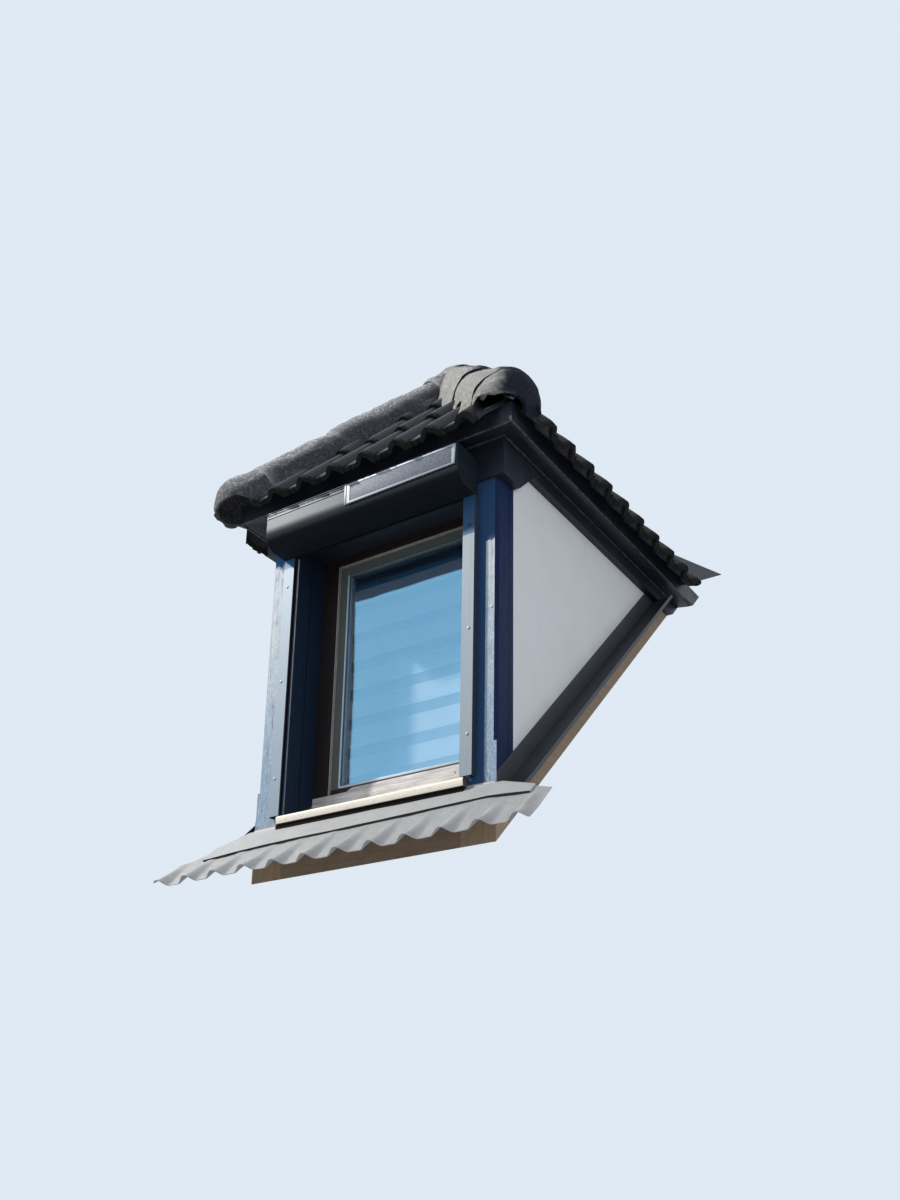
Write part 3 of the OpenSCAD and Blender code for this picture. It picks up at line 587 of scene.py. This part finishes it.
cap_round = 28
cap_long = 26
cap_lap = 0.035  # how far a cap runs on under the one above it
lip_round = 0.030
lip_long = 0.045
arch_share = 0.78  # the arch's share of a cap's half width; the rest is its skirt
dome_share = 0.93  # how much of a dome is built, of its radius
dome_tilt = 0.055  # how far a dome's rim rises towards its end
dome_blend = 0.08
spill_low = 0.028
spill_out = 0.020
highest = cad_box[1][2] - 0.002


def held(value):
    """A value that stays between 0 and 1."""
    return max(0.0, min(1.0, value))


def cap_row(name, down, stops, radii, slope_fall, top_clear, dome, thick=0.014, front_side=0, cuts=()):
    """A row of caps from the apex. Each widens down its run and rests on the next.

    down is the run's direction and stops the places where caps meet; radii are the caps' outer
    radii at their upper and lower ends. dome rounds the last cap. front_side is the side, -1 or 1,
    on which mortar has spilled out, or 0."""
    across = down.cross(Vector((0, 0, 1))).normalized()
    up = across.cross(down).normalized()
    middle = top_clear - sum(radii[0]) / 2
    made = []
    for place, stop in enumerate(stops[1:]):
        last = dome and place == len(stops) - 2
        slim, wide = radii[place]
        start = stops[place] - (cap_lap if place else 0.0)
        end = stop + (wide * dome_share if last else 0.0)
        cap = grid(cap_round, cap_long)
        lips = cap.data.attributes.new("lip", "FLOAT", "POINT")
        turn = dice.uniform(-0.02, 0.02)
        for point, vertex in enumerate(cap.data.vertices):
            side = vertex.co.x * 2
            run = start + (end - start) * (vertex.co.y + 0.5)
            radius = slim + (wide - slim) * min(1.0, (run - start) / (stop - start)) ** 1.2
            if not last:
                radius -= 0.010 * (1 - math.sqrt(1 - max(0.0, 1 - (end - run) / lip_round) ** 2))
                lips.data[point].value = max(0.0, 1 - (stop - run) / lip_long)
            beyond = run - stop if last else -1.0
            ball = held(beyond / dome_blend + 0.5)
            closed = math.sqrt(max(0.0, 1 - max(0.0, beyond / wide) ** 2))
            tilt = max(0.0, beyond) / wide * dome_tilt
            if front_side > 0:
                tilt *= held(side * 2 + 0.6)
            rim = math.acos(min(1.0, tilt / (radius * closed)))
            arch = min(1.0, abs(side) / arch_share) * rim
            skirt = max(0.0, abs(side) - arch_share) / (1 - arch_share)
            reach = (radius * slope_fall + middle) * skirt * (1 - ball) + 0.004 * skirt
            spot = Vector((side * 2.2, run * 6, place * 3.7))
            lump = noise.noise(spot) * 0.008 + noise.noise(spot * 4.1) * 0.004
            spread = (radius * closed + lump) * math.sin(arch) * math.copysign(1, side)
            height = middle + (radius * closed + lump) * math.cos(arch) - reach
            height += skirt * noise.noise(spot * 4) * 0.004
            if side * front_side > 0:
                spill = skirt * (1 - ball) * (0.5 + noise.noise(Vector((run * 10, 0.0, 7.0))))
                height -= spill * spill_low
                spread += spill * spill_out * front_side
            vertex.co = apex + down * run + across * (spread + turn * (run - start)) + up * height
            vertex.co.z = min(vertex.co.z, highest)
        walled(cap, thick, -1)
        made.append(cap)
    return whole(name, [trimmed(joined(made), cuts, 0.0002)], cap_finish)


hip_fall = math.tan(roof_tilt) / math.sqrt(2 + math.tan(roof_tilt) ** 2)
hip_run = eave_x * math.sqrt(2 + math.tan(roof_tilt) ** 2)
down_left = (Vector((-eave_x, eave_y, eave_z)) - apex).normalized()
down_right = (Vector((eave_x, eave_y, eave_z)) - apex).normalized()
left_caps = cap_row("left_hip_cap_row", down_left, [0.020, 0.160, 0.700, 1.075, hip_run - 0.158],
                    [(0.119, 0.131)] * 4, hip_fall, 0.092, True, 0.014, -1)
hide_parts("left_hip_caps")
right_caps = cap_row("right_hip_cap_row", down_right, [-0.020, 0.540, 1.080, hip_run - 0.232],
                     [(0.125, 0.136), (0.110, 0.136), (0.110, 0.126)], hip_fall, 0.092, True, 0.022, 1)
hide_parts("right_hip_caps")
ridge_level = cap_row("ridge_cap_row", Vector((0, 1, 0)), [-0.02, 0.42, 0.85, 1.28, 1.70],
                      [(0.119, 0.131)] * 4, math.tan(roof_tilt), 0.078, False, cuts=[back_cut])
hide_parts("ridge_caps")

mortar = started(bpy.ops.mesh.primitive_uv_sphere_add, segments=40, ring_count=24, radius=1)
smudge = mortar.data.attributes.new("lip", "FLOAT", "POINT")
for point, vertex in enumerate(mortar.data.vertices):
    way = vertex.co.copy()
    lump = 1 + noise.noise(way * 1.7) * 0.07 + noise.noise(way * 5.3) * 0.035
    vertex.co = apex + Vector((way.x * 0.128, way.y * 0.150 + 0.015, way.z * 0.105 - 0.020)) * lump
    vertex.co.z = min(vertex.co.z, highest)
    smudge.data[point].value = 0.5
whole("apex_mortar", [mortar], cap_finish)

# Sheet metal: an apron dressed by hand into folds under the window, and a folded cover strip with
# a drip above it, nailed on a little out of level. Both are soft grey metal, dull and rumpled; the
# drip's downward face is painted dark as its shadow.
sheet = Finish("apron_lead")
where = sheet.place()
cloud = sheet.noise(where, 6, 6, 0.6)
wrinkle = sheet.noise(where, 26, 4, 0.5, (1, 1.4, 1.4))
smear = sheet.band(sheet.noise(where, 17, 5, 0.6, (3, 0.6, 0.6)), 0.55, 0.75)
coat = sheet.mix(cloud, (0.26, 0.262, 0.258), (0.36, 0.36, 0.350))
coat = sheet.mix(smear * 0.35, coat, (0.17, 0.175, 0.18))
sheet.paint(Base_Color=coat, Roughness=0.6, Normal=sheet.bump(wrinkle, 0.003), Metallic=0.1)

down_main = Vector((0, -math.cos(main_tilt), -math.sin(main_tilt)))
apron_half = 0.798
apron_long = 0.340
apron_level = -0.010
strip_long = 0.130
fold_pitch = 0.140
fold_shift = 0.060
fold_rise = 0.030
end_fold_x = 0.755
dip_x = 0.552  # beyond it the sheets' upper edge runs down beside a post
foot_line = [(-0.80, 0.200), (-0.671, 0.183), (-0.395, 0.148),
             (0.121, 0.130), (0.554, 0.108), (0.80, 0.150)]  # the strip's lower edge


def strip_foot(u):
    """How far down the slope the cover strip reaches."""
    for (left, first), (right, second) in zip(foot_line, foot_line[1:]):
        if u <= right:
            return first + (second - first) * (u - left) / (right - left)


def top_edge(u):
    """The upper edge of the sheets, which runs down beside the posts."""
    return max(0.0, abs(u) - dip_x) * (0.50 if u > 0 else 0.80)


apron_sheet = grid(300, 60)
for vertex in apron_sheet.data.vertices:
    u = vertex.co.x * 2 * apron_half
    edge = apron_long - 0.010 * max(0.0, u / apron_half)
    v = top_edge(u) + (0.5 - vertex.co.y) * (edge - top_edge(u))
    off = abs((u - fold_shift + fold_pitch / 2) % fold_pitch - fold_pitch / 2)
    grow = held((v - strip_long * 0.85) / (apron_long - strip_long * 0.85)) ** 1.6
    width = 0.036 + 0.014 * grow
    swell = fold_rise * grow * math.cos(min(1.0, off / width) * math.pi / 2) ** 2
    end_fold = max(0.0, 1 - abs(u - end_fold_x) / 0.035)
    rising = held((v - top_edge(u) - 0.03) / 0.10)
    swell = max(swell, 0.018 * end_fold ** 2 * rising * (3 - 2 * end_fold))
    rumple = 0.0022 * noise.noise(Vector((u * 9, v * 9, 1.5)))
    rumple += 0.0010 * noise.noise(Vector((u * 31, v * 31, 4)))
    hem = 0.003 * max(0.0, 1 - (edge - v) / 0.006)
    lift = apron_level + swell + rumple + hem
    vertex.co = main_foot + Vector((u, 0, 0)) + down_main * v + main_out * lift
walled(apron_sheet, 0.0018)
apron_sheet = whole("dressed_apron", [apron_sheet], sheet)
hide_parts("apron")

cover = Finish("cover_metal")
where = cover.place()
cloud = cover.noise(where, 7, 5, 0.6)
scuffs = cover.band(cover.noise(where, 40, 5, 0.65, (0.5, 1, 1)), 0.55, 0.7)
# Painted shadow on the drip's downward face.
painted_drip_shadow = 1.0 - cover.band(cover.facing("Z"), -0.62, -0.40)
coat = cover.mix(cloud, (0.30, 0.302, 0.298), (0.40, 0.40, 0.390))
coat = cover.mix(scuffs * 0.4, coat, (0.21, 0.215, 0.22))
coat = cover.mix(painted_drip_shadow, coat, (0.020, 0.020, 0.022))
cover.paint(Base_Color=coat, Roughness=0.55, Metallic=0.1, Normal=cover.bump(cloud, 0.002))
strip_wide = 1.40
strip_middle = 0.025
strip_rows = 16
turned_up = 2  # the rows that stand up under the sill
turned_half = 0.5385
cover_strip = grid(160, strip_rows)
for vertex in cover_strip.data.vertices:
    u = vertex.co.x * strip_wide + strip_middle
    row = round((0.5 - vertex.co.y) * strip_rows)
    high = max(0.008, top_edge(u))
    v = high + (strip_foot(u) - high) * max(0, row - turned_up) / (strip_rows - turned_up)
    lift = apron_level + 0.0060 + 0.0016 * noise.noise(Vector((u * 7, v * 9, 3)))
    vertex.co = main_foot + Vector((u, 0, 0)) + down_main * v + main_out * lift
    if abs(u) < turned_half and row < turned_up:
        vertex.co = main_foot + Vector((u, -0.0015, 0.002 - row * 0.007))
walled(cover_strip, 0.0075)
cover_strip = whole("folded_cover_strip", [cover_strip], cover)
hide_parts("apron_cover_strip")

# Flashings and valleys: dark coated sheet, folded up against the cheeks, and laid in the valleys
# under the lower ends of the side slopes. The flashings are near black, as painted shade at the
# cheeks' foot.
for node, slot, dark, light, rough, sheen in (
    # The side flashings' near black is painted shade at the cheeks' foot.
    ("side_flashings", "flashing_metal", (0.015, 0.017, 0.022), (0.042, 0.045, 0.052), 0.5, 0.4),
    ("valley_sheets", "valley_metal", (0.030, 0.032, 0.036), (0.060, 0.063, 0.070), 0.6, 0.3),
):
    metal = Finish(slot)
    cloud = metal.noise(metal.place(), 9, 5, 0.6)
    dress(metal.paint(Base_Color=metal.mix(cloud, dark, light), Roughness=rough,
                      Specular_IOR_Level=sheen, Normal=metal.bump(cloud, 0.002)), node)

# Window: a dark stained frame, and in it a grey sash, both white on the room side, except that the
# sash's upper inside is painted grey as shade and its lower edge black as a painted shadow line. A
# pale seal shows in the gap round the sash, and below stands a bare, weathered timber rail.
frame_stain = Finish("frame_paint")
where, y = frame_stain.place("Y")
room_white = (0.90, 0.94, 0.98)
grain = frame_stain.noise(where, 10, 6, 0.6, (12, 12, 0.8))
coat = frame_stain.mix(grain, (0.009, 0.007, 0.008), (0.024, 0.017, 0.017))
coat = frame_stain.mix(frame_stain.band(y, front_y + 0.202, front_y + 0.206), coat, room_white)
dress(frame_stain.paint(Base_Color=coat, Roughness=0.45, Specular_IOR_Level=0.3,
                        Normal=frame_stain.bump(grain, 0.001)), "window_frame")

sash_coat = Finish("sash_paint")
where, y, z = sash_coat.place("YZ")
grain = sash_coat.noise(where, 9, 5, 0.6, (10, 10, 0.9))
coat = sash_coat.mix(grain, (0.085, 0.098, 0.090), (0.135, 0.150, 0.140))
# Painted shade: the sash's upper inside is grey instead of white.
head = sash_coat.mix(sash_coat.band(z, foot_z + 1.080, foot_z + 1.095), room_white, (0.28, 0.28, 0.26))
coat = sash_coat.mix(sash_coat.band(y, front_y + 0.187, front_y + 0.190), coat, head)
# A painted shadow line: below this height the sash is near black.
coat = sash_coat.mix(sash_coat.band(z, foot_z + 0.1750, foot_z + 0.1765), (0.008, 0.007, 0.008), coat)
sash_coat.paint(Base_Color=coat, Roughness=0.42, Normal=sash_coat.bump(grain, 0.001))
dress(sash_coat, "window_sash")


def ring(half, low, high, front, back, width, edge, sides=4):
    """Bars that frame an opening: left, right, top, bottom. half, low and high are the outer sides."""
    upright = (low, high)
    between = (width - half, half - width)
    ends = [((-half, width - half), upright), ((half - width, half), upright),
            (between, (high - width, high)), (between, (low, low + width))]
    return [bar(across, (front, back), rise, edge) for across, rise in ends[:sides]]


seal_finish = Finish("seal_rubber")
chalk = seal_finish.noise(seal_finish.place(), 40, 5, 0.7, (1, 1, 0.3))
seal_finish.paint(Base_Color=seal_finish.mix(chalk, (0.20, 0.175, 0.16), (0.62, 0.56, 0.50)),
                  Roughness=0.7, Normal=seal_finish.bump(chalk, 0.0006))
sash_front = front_y + 0.172
seal = ring(0.3315, foot_z + 0.1512, foot_z + 1.1558, sash_front - 0.0035, sash_front + 0.002,
            0.0040, 0.0012, 3)
seal += ring(0.3240, foot_z + 0.1587, foot_z + 1.1483, sash_front - 0.0020, sash_front + 0.002,
             0.0022, 0.0008, 3)
whole("sash_seal", seal, seal_finish)

bare = Finish("bare_rail")
where, x, z = bare.place("XZ")
grain = bare.noise(where, 11, 6, 0.65, (0.8, 9, 14))
stain = bare.band(bare.noise(where, 16, 5, 0.6, (0.5, 1, 1)), 0.45, 0.65)
nail = (abs(x - 0.267) | abs(z - (foot_z + 0.135))) - 0.0025
coat = bare.mix(bare.band(grain, 0.35, 0.65), (0.54, 0.505, 0.485), (0.88, 0.84, 0.80))
coat = bare.mix(stain * 0.35, coat, (0.42, 0.36, 0.34))
coat = bare.mix(bare.band(nail, 0.0, 0.001), (0.03, 0.02, 0.02), coat)
dress(bare.paint(Base_Color=coat, Roughness=0.7, Normal=bare.bump(grain, 0.002)), "window_bottom_rail")
weather_left = -0.259
weather_right = 0.325
weather_low = foot_z + 0.1445
weather_bar = bar((weather_left, weather_right), (sash_front - 0.005, sash_front + 0.001),
                  (weather_low, weather_low + 0.0240), 0.0015)
for vertex in weather_bar.data.vertices:
    if vertex.co.x < 0:
        vertex.co.x += (vertex.co.z - weather_low) * 1.9
whole("weather_bar", [weather_bar], bare)

# Glass: a sealed unit of two clear panes round a pale spacer, held by a thin glazing bead. From
# below its face mirrors the pale room through a strong blue tint, a painted reflection of the sky,
# and light passes through it to the blind.
pane = Finish("glass")
where, z = pane.place("Z")
bowed = ((z - (foot_z + 0.55)) | 0.0) ** 2.0 * 0.06
passing = pane.node("LightPath", out="Is Shadow Ray")
# The outer pane's blue tint is a painted reflection of the sky.
pane.paint(Base_Color=(0.32, 0.73, 1.0), Metallic=1.0, Roughness=0.02, Alpha=(1.0 - passing) * 0.42,
           Normal=pane.bump(bowed + pane.noise(where, 3, 2, 0.5) * 0.0015, 1.0))
glass_half = 0.2794
glass_low = foot_z + 0.1843
glass_high = foot_z + 1.1037
glass_front = front_y + 0.182
pane_thick = 0.004
inner_front = glass_front + 0.020
outer_pane = bar((-glass_half, glass_half), (glass_front, glass_front + pane_thick),
                 (glass_low, glass_high), 0.0004, 1)
outer_pane = whole("outer_pane", [outer_pane], pane)
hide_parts("window_glass")
clear = Finish("clear_glass")
haze = clear.noise(clear.place(), 5, 5, 0.6)
passing = clear.node("LightPath", out="Is Shadow Ray")
clear.paint(Base_Color=(0.75, 0.85, 0.92), Roughness=0.05, Alpha=(1.0 - passing) * (0.02 + haze * 0.05))
inner_pane = bar((-glass_half, glass_half), (inner_front, inner_front + pane_thick),
                 (glass_low, glass_high), 0.0004, 1)
whole("inner_pane", [inner_pane], clear)
spacer_finish = Finish("spacer_bar")
dots = spacer_finish.noise(spacer_finish.place(), 300, 2, 0.5)
coat = spacer_finish.mix(dots, (0.62, 0.69, 0.76), (0.74, 0.80, 0.86))
spacer_finish.paint(Base_Color=coat, Roughness=0.5)
spacer_bars = ring(glass_half, glass_low, glass_high, glass_front + pane_thick, inner_front,
                   0.004, 0.0006)
# The top spacer bar takes the sash paint, as painted shade.
spacer_top = spacer_bars.pop(2)
whole("glass_spacer", spacer_bars, spacer_finish)
# The beads take the spacer's pale blue as a painted sky reflection; the top one, sash paint as shade.
glazing = ring(glass_half + 0.004, glass_low - 0.004, glass_high + 0.004, sash_front - 0.0015,
               sash_front + 0.003, 0.005, 0.0012)
glazing_top = glazing.pop(2)
glazing.append(bar((-glass_half, glass_half), (sash_front - 0.0010, sash_front + 0.003),
                   (foot_z + 0.1765, glass_low), 0.0008))
whole("glazing_bead", glazing, spacer_finish)
whole("glazing_bead_top", [glazing_top], sash_coat)
whole("glass_spacer_top", [spacer_top], sash_coat)

# Sill: a cast slab, cream and slightly rough, with a rounded nose over a drip groove. Its underside
# and its end that looks along +X are painted dark as shade. A dark stained batten, taken near black
# as painted shade, fills the joint below its nose.
cream = Finish("sill_stone")
where = cream.place()
cloud = cream.noise(where, 8, 5, 0.6)
specks = cream.band(cream.noise(where, 120, 4, 0.7), 0.58, 0.66)
coat = cream.mix(cloud, (0.84, 0.75, 0.60), (0.95, 0.88, 0.75))
coat = cream.mix(specks * 0.5, coat, (0.40, 0.34, 0.26))
# Painted shade on the underside.
coat = cream.mix(1.0 - cream.band(cream.facing("Z"), -0.75, -0.35), coat, (0.045, 0.034, 0.027))
# Painted shade on the end that looks along +X.
coat = cream.mix(cream.band(cream.facing("X"), 0.5, 0.9), coat, (0.06, 0.05, 0.05))
cream.paint(Base_Color=coat, Roughness=0.6, Normal=cream.bump(cloud + specks * 0.2, 0.002))


def swept(profile, start, end):
    """A straight length of a profile, given in Y and Z, from one X to another."""
    piece = started(bpy.ops.mesh.primitive_circle_add, vertices=len(profile), fill_type="NGON")
    for vertex, (deep, high) in zip(piece.data.vertices, profile):
        vertex.co = (start, front_y + deep, foot_z + high)
    bpy.ops.object.mode_set(mode="EDIT")
    bpy.ops.mesh.select_all(action="SELECT")
    bpy.ops.mesh.extrude_region_move(TRANSFORM_OT_translate={"value": (end - start, 0, 0)})
    bpy.ops.object.mode_set(mode="OBJECT")
    return trimmed(piece)


nose_profile = [(0.001, 0.002), (-0.004, -0.003), (-0.009, 0.001), (-0.014, -0.003),
                (-0.0240, -0.0030), (-0.0272, -0.0014), (-0.0286, 0.0030), (-0.0293, 0.0085),
                (-0.0297, 0.0125), (-0.0300, 0.0170), (-0.0299, 0.0215),
                (-0.0285, 0.0260), (-0.0250, 0.0290), (-0.0180, 0.0300), (0.001, 0.0308)]
slab_profile = [(0.0, 0.002), (0.210, 0.002), (0.210, 0.046), (0.160, 0.046), (0.0, 0.0300)]
nose_left = -0.412
nose_right = 0.424
slab_half = 0.3995
sill = [swept(nose_profile, nose_left, nose_right), swept(slab_profile, -slab_half, slab_half)]
sill = whole("cast_sill", sill, cream)
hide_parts("window_sill")
batten_half = 0.420
batten = bar((-batten_half, batten_half), (front_y - 0.021, front_y - 0.003),
             (foot_z - 0.0215, foot_z - 0.0028), 0.0015)
batten_stain = Finish("batten_stain")
grain = batten_stain.noise(batten_stain.place(), 14, 5, 0.6, (0.8, 9, 9))
# Near black, as painted shade under the sill's nose.
coat = batten_stain.mix(grain, (0.002, 0.0015, 0.001), (0.010, 0.007, 0.005))
batten_stain.paint(Base_Color=coat, Roughness=0.8, Specular_IOR_Level=0.1,
                   Normal=batten_stain.bump(grain, 0.001))
whole("sill_batten", [batten], batten_stain)

# Blind: a cassette behind the sash, painted dark grey as shade, and a striped cloth of solid and
# sheer bands that hangs from it, with a weight bar in its lower hem.
plastic = Finish("cassette_plastic")
cloud = plastic.noise(plastic.place(), 30, 3, 0.5)
# Painted shade: the cassette's plastic is dark grey.
coat = plastic.mix(cloud, (0.038, 0.038, 0.036), (0.055, 0.055, 0.052))
dress(plastic.paint(Base_Color=coat, Roughness=0.4), "blind_cassette")

cloth = Finish("blind_fabric")
where, z = cloth.place("Z")
band_pitch = 0.1255
solid_middle = foot_z + 0.4088
sheer = abs((z - solid_middle + band_pitch / 2) % band_pitch - band_pitch / 2)
sheer = cloth.band(sheer, 0.0385, 0.0405)
weave = cloth.node("TexWave", {"Vector": where, "Scale": 260.0}, bands_direction="Z", wave_type="BANDS")
thread = cloth.noise(where, 700, 2, 0.5, (1, 1, 0.3))
coat = cloth.mix(sheer, (0.97, 0.96, 0.93), (0.46, 0.50, 0.53))
coat = cloth.mix(thread * 0.10, coat, (0.60, 0.62, 0.64))
cloth.paint(Base_Color=coat, Roughness=0.85, Alpha=1.0 - sheer * 0.35, Normal=cloth.bump(weave, 0.00005))

cloth_half = 0.305
cloth_low = foot_z + 0.191
cloth_high = foot_z + 1.066
cloth_y = front_y + 0.242
blind_cloth = grid(40, 70)
for vertex in blind_cloth.data.vertices:
    u = vertex.co.x * 2 * cloth_half
    high = cloth_low + (vertex.co.y + 0.5) * (cloth_high - cloth_low)
    vertex.co = (u, cloth_y + 0.0012 * noise.noise(Vector((u * 3, high * 5, 2))), high)
walled(blind_cloth, 0.0006)
blind_cloth = whole("zebra_cloth", [blind_cloth], cloth)
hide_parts("zebra_blind")
weight_bar = bar((-cloth_half, cloth_half), (cloth_y - 0.0019, cloth_y + 0.0019),
                 (cloth_low, cloth_low + 0.020), 0.0015)
weight_bar = whole("blind_weight_bar", [weight_bar], plastic)

# Roller shutter: a folded aluminium box under the eave, coated anthracite, with pressed lines
# along its top edge and a seam beside the solar panel. Its underside and the lower part of its face
# are darkened as painted shade, and its sheen is tinted blue as a painted reflection of the sky.
box_coat = Finish("box_metal")
where, z = box_coat.place("Z")
cloud = box_coat.noise(where, 40, 3, 0.5)
smear = box_coat.noise(where, 7, 4, 0.6, (0.5, 1, 1))
coat = box_coat.mix(cloud, (0.005, 0.008, 0.012), (0.010, 0.015, 0.021))
# Painted shade on the underside and the lower part of the face.
painted_shade_lower = box_coat.band(0.0 - box_coat.facing("Z"), 0.05, 0.45)
painted_shade_lower = painted_shade_lower | (1.0 - box_coat.band(z, foot_z + 1.180, foot_z + 1.220)) * 0.8
coat = box_coat.mix(painted_shade_lower, coat, (0.002, 0.003, 0.006))
# The blue sheen tint is a painted reflection of the sky.
box_coat.paint(Base_Color=coat, Roughness=0.35 + smear * 0.10 + painted_shade_lower * 0.5,
               Coat_Weight=0.04 * (1.0 - painted_shade_lower), Coat_Roughness=0.3, Specular_IOR_Level=0.24,
               Specular_Tint=(0.72, 0.88, 1.0))
dress(box_coat, "shutter_box")
box_left = -0.456
box_high = foot_z + 1.283
box_front = front_y - 0.145
panel_left = -0.047
panel_right = 0.449
panel_low = foot_z + 1.191
panel_high = foot_z + 1.276
seam_left = panel_left - 0.014
seam_right = panel_left - 0.004
box_lines = [bar((box_left, seam_left), (box_front - 0.0022, box_front + 0.001),
                 (box_high - drop - 0.003, box_high - drop), 0.0008)
             for drop in (0.0005, 0.0095, 0.0240)]
box_lines.append(bar((seam_left, seam_right), (box_front - 0.0030, box_front + 0.001),
                     (panel_low, box_high), 0.001))
# The pale lines and seam are a painted highlight.
pressed_line_highlight = Finish("pressed_line_highlight")
highlight_streaks = pressed_line_highlight.noise(pressed_line_highlight.place(), 30, 5, 0.65, (0.2, 1, 1))
pressed_line_highlight.paint(Base_Color=pressed_line_highlight.mix(highlight_streaks, (0.15, 0.17, 0.18), (0.36, 0.39, 0.40)), Roughness=0.45)
whole("shutter_box_lines", box_lines, pressed_line_highlight)

# Solar panel: a strip of grey cells behind clear plastic, in a pale aluminium frame with one
# rounded corner, screwed to the box's face.
cells = Finish("panel_cells")
where, x = cells.place("X")
tone = cells.part(cells.node("TexVoronoi", {"Vector": where, "Scale": 260}, out="Color"), "X")
speck = cells.noise(where, 420, 3, 0.7)
seams = cells.band(abs((x - panel_left) % 0.078 - 0.039), 0.0375, 0.0385)
coat = cells.mix(tone * 0.6 + speck * 0.4, (0.08, 0.095, 0.120), (0.25, 0.27, 0.305))
coat = cells.mix(seams * 0.4, coat, (0.12, 0.13, 0.15))
cells.paint(Base_Color=coat, Roughness=0.55, Specular_IOR_Level=0.12)
frame_metal = Finish("panel_frame")
brushed = frame_metal.noise(frame_metal.place(), 60, 4, 0.6, (0.05, 1, 1))
coat = frame_metal.mix(brushed, (0.36, 0.39, 0.42), (0.50, 0.53, 0.56))
frame_metal.paint(Base_Color=coat, Roughness=0.55, Metallic=0.1,
                  Normal=frame_metal.bump(brushed, 0.0004))
plate = bar((panel_left, panel_right), (box_front - 0.006, box_front), (panel_low, panel_high), 0.0008)
corner_in = 0.004
for vertex in plate.data.vertices:
    if vertex.co.x > panel_right - 0.002 and vertex.co.z < panel_low + 0.002:
        vertex.co.x -= corner_in
        vertex.co.z += corner_in
rim_ends = 0.014
rim_sides = 0.0075
pocket = bar((panel_left + rim_ends, panel_right - rim_ends), (box_front - 0.010, box_front - 0.0035),
             (panel_low + rim_sides, panel_high - rim_sides), 0.0001, 1)
recess = plate.modifiers.new("recess", "BOOLEAN")
recess.operation = "DIFFERENCE"
recess.object = pocket
bpy.context.view_layer.objects.active = plate
bpy.ops.object.modifier_apply(modifier="recess")
bpy.data.objects.remove(pocket)
whole("panel_frame", [plate], frame_metal)
face_gap = 0.0005
panel_face = bar((panel_left + rim_ends + face_gap, panel_right - rim_ends - face_gap),
                 (box_front - 0.0045, box_front - 0.0030),
                 (panel_low + rim_sides + face_gap, panel_high - rim_sides - face_gap), 0.0005)
panel_face = whole("panel_cells", [panel_face], cells)
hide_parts("solar_panel")

# Guide rails: two aluminium channels, each held to its post by three pan head screws. Their blue
# coating has weathered to a blue grey. Above the box's painted shadow line their tops are a deep
# blue painted shade, and their side faces and rear part are near black, a brush seal in the groove
# with painted shade. A further screw closes the hole of an old bracket in the right post; the right
# rail's top screw is near black as painted shade.
rail_metal = Finish("rail_metal")
where, x, y, z = rail_metal.place("XYZ")
right = rail_metal.band(x, -0.1, 0.1)
brushed = rail_metal.noise(where, 60, 4, 0.6, (1, 1, 0.04))
cloud = rail_metal.noise(where, 5, 5, 0.6, (1, 1, 0.5))
coat = rail_metal.mix(brushed, (0.21, 0.255, 0.285), (0.30, 0.345, 0.375))
coat = rail_metal.mix(1.0 - right, coat, (0.27, 0.33, 0.38))
coat = rail_metal.mix(cloud * 0.4, coat, (0.18, 0.235, 0.28))
# Painted shade: the rails' tops above the box's shadow line are deep blue.
painted_shade_top = rail_metal.band(z - foot_z + right * 0.120, 1.086, 1.092)
coat = rail_metal.mix(painted_shade_top, coat, rail_metal.mix(right, (0.030, 0.110, 0.240), (0.020, 0.070, 0.155)))
# A dark brush seal in the groove, with painted shade on the side faces and rear part.
seal_and_painted_shade = rail_metal.band(abs(rail_metal.facing("X")), 0.6, 0.8)
seal_and_painted_shade = seal_and_painted_shade | rail_metal.band(y, front_y - 0.018, front_y - 0.014)
coat = rail_metal.mix(seal_and_painted_shade, coat, (0.012, 0.015, 0.024))
rail_metal.paint(Base_Color=coat, Roughness=0.5 + seal_and_painted_shade * 0.3, Specular_IOR_Level=0.4,
                 Metallic=0.15 * (1.0 - seal_and_painted_shade), Normal=rail_metal.bump(brushed, 0.0005))
dress(rail_metal, "left_guide_rail", "right_guide_rail")


def screw(across, deep, high, size):
    """A pan head screw, seen from the front."""
    head = started(bpy.ops.mesh.primitive_cylinder_add, vertices=16, radius=size, depth=0.003)
    for vertex in head.data.vertices:
        flat = vertex.co.copy()
        vertex.co = (across + flat.x, deep - flat.z, high + flat.y)
    return eased(head, 0.0012)


screw_metal = Finish("screw_metal")
where, x, z = screw_metal.place("XZ")
coat = screw_metal.mix(screw_metal.noise(where, 300, 3, 0.6), (0.22, 0.25, 0.28), (0.44, 0.47, 0.50))
# Painted shade: the right rail's top screw, above the shadow line, is near black.
painted_shade_mask = screw_metal.band(x, 0.0, 0.1) * screw_metal.band(z, foot_z + 0.96, foot_z + 0.97)
coat = screw_metal.mix(painted_shade_mask, coat, (0.01, 0.02, 0.04))
screw_metal.paint(Base_Color=coat, Roughness=0.5, Metallic=0.3)
rail_middle = 0.436
rail_web = front_y - 0.0258
screw_heights = (0.185, 0.590, 1.006)
screws = [screw(side * rail_middle, rail_web, foot_z + high, 0.0055)
          for side in (-1, 1) for high in screw_heights]
screws.append(screw(0.5168, front_y - 0.0008, foot_z + 0.662, 0.0050))
whole("guide_screws", screws, screw_metal)
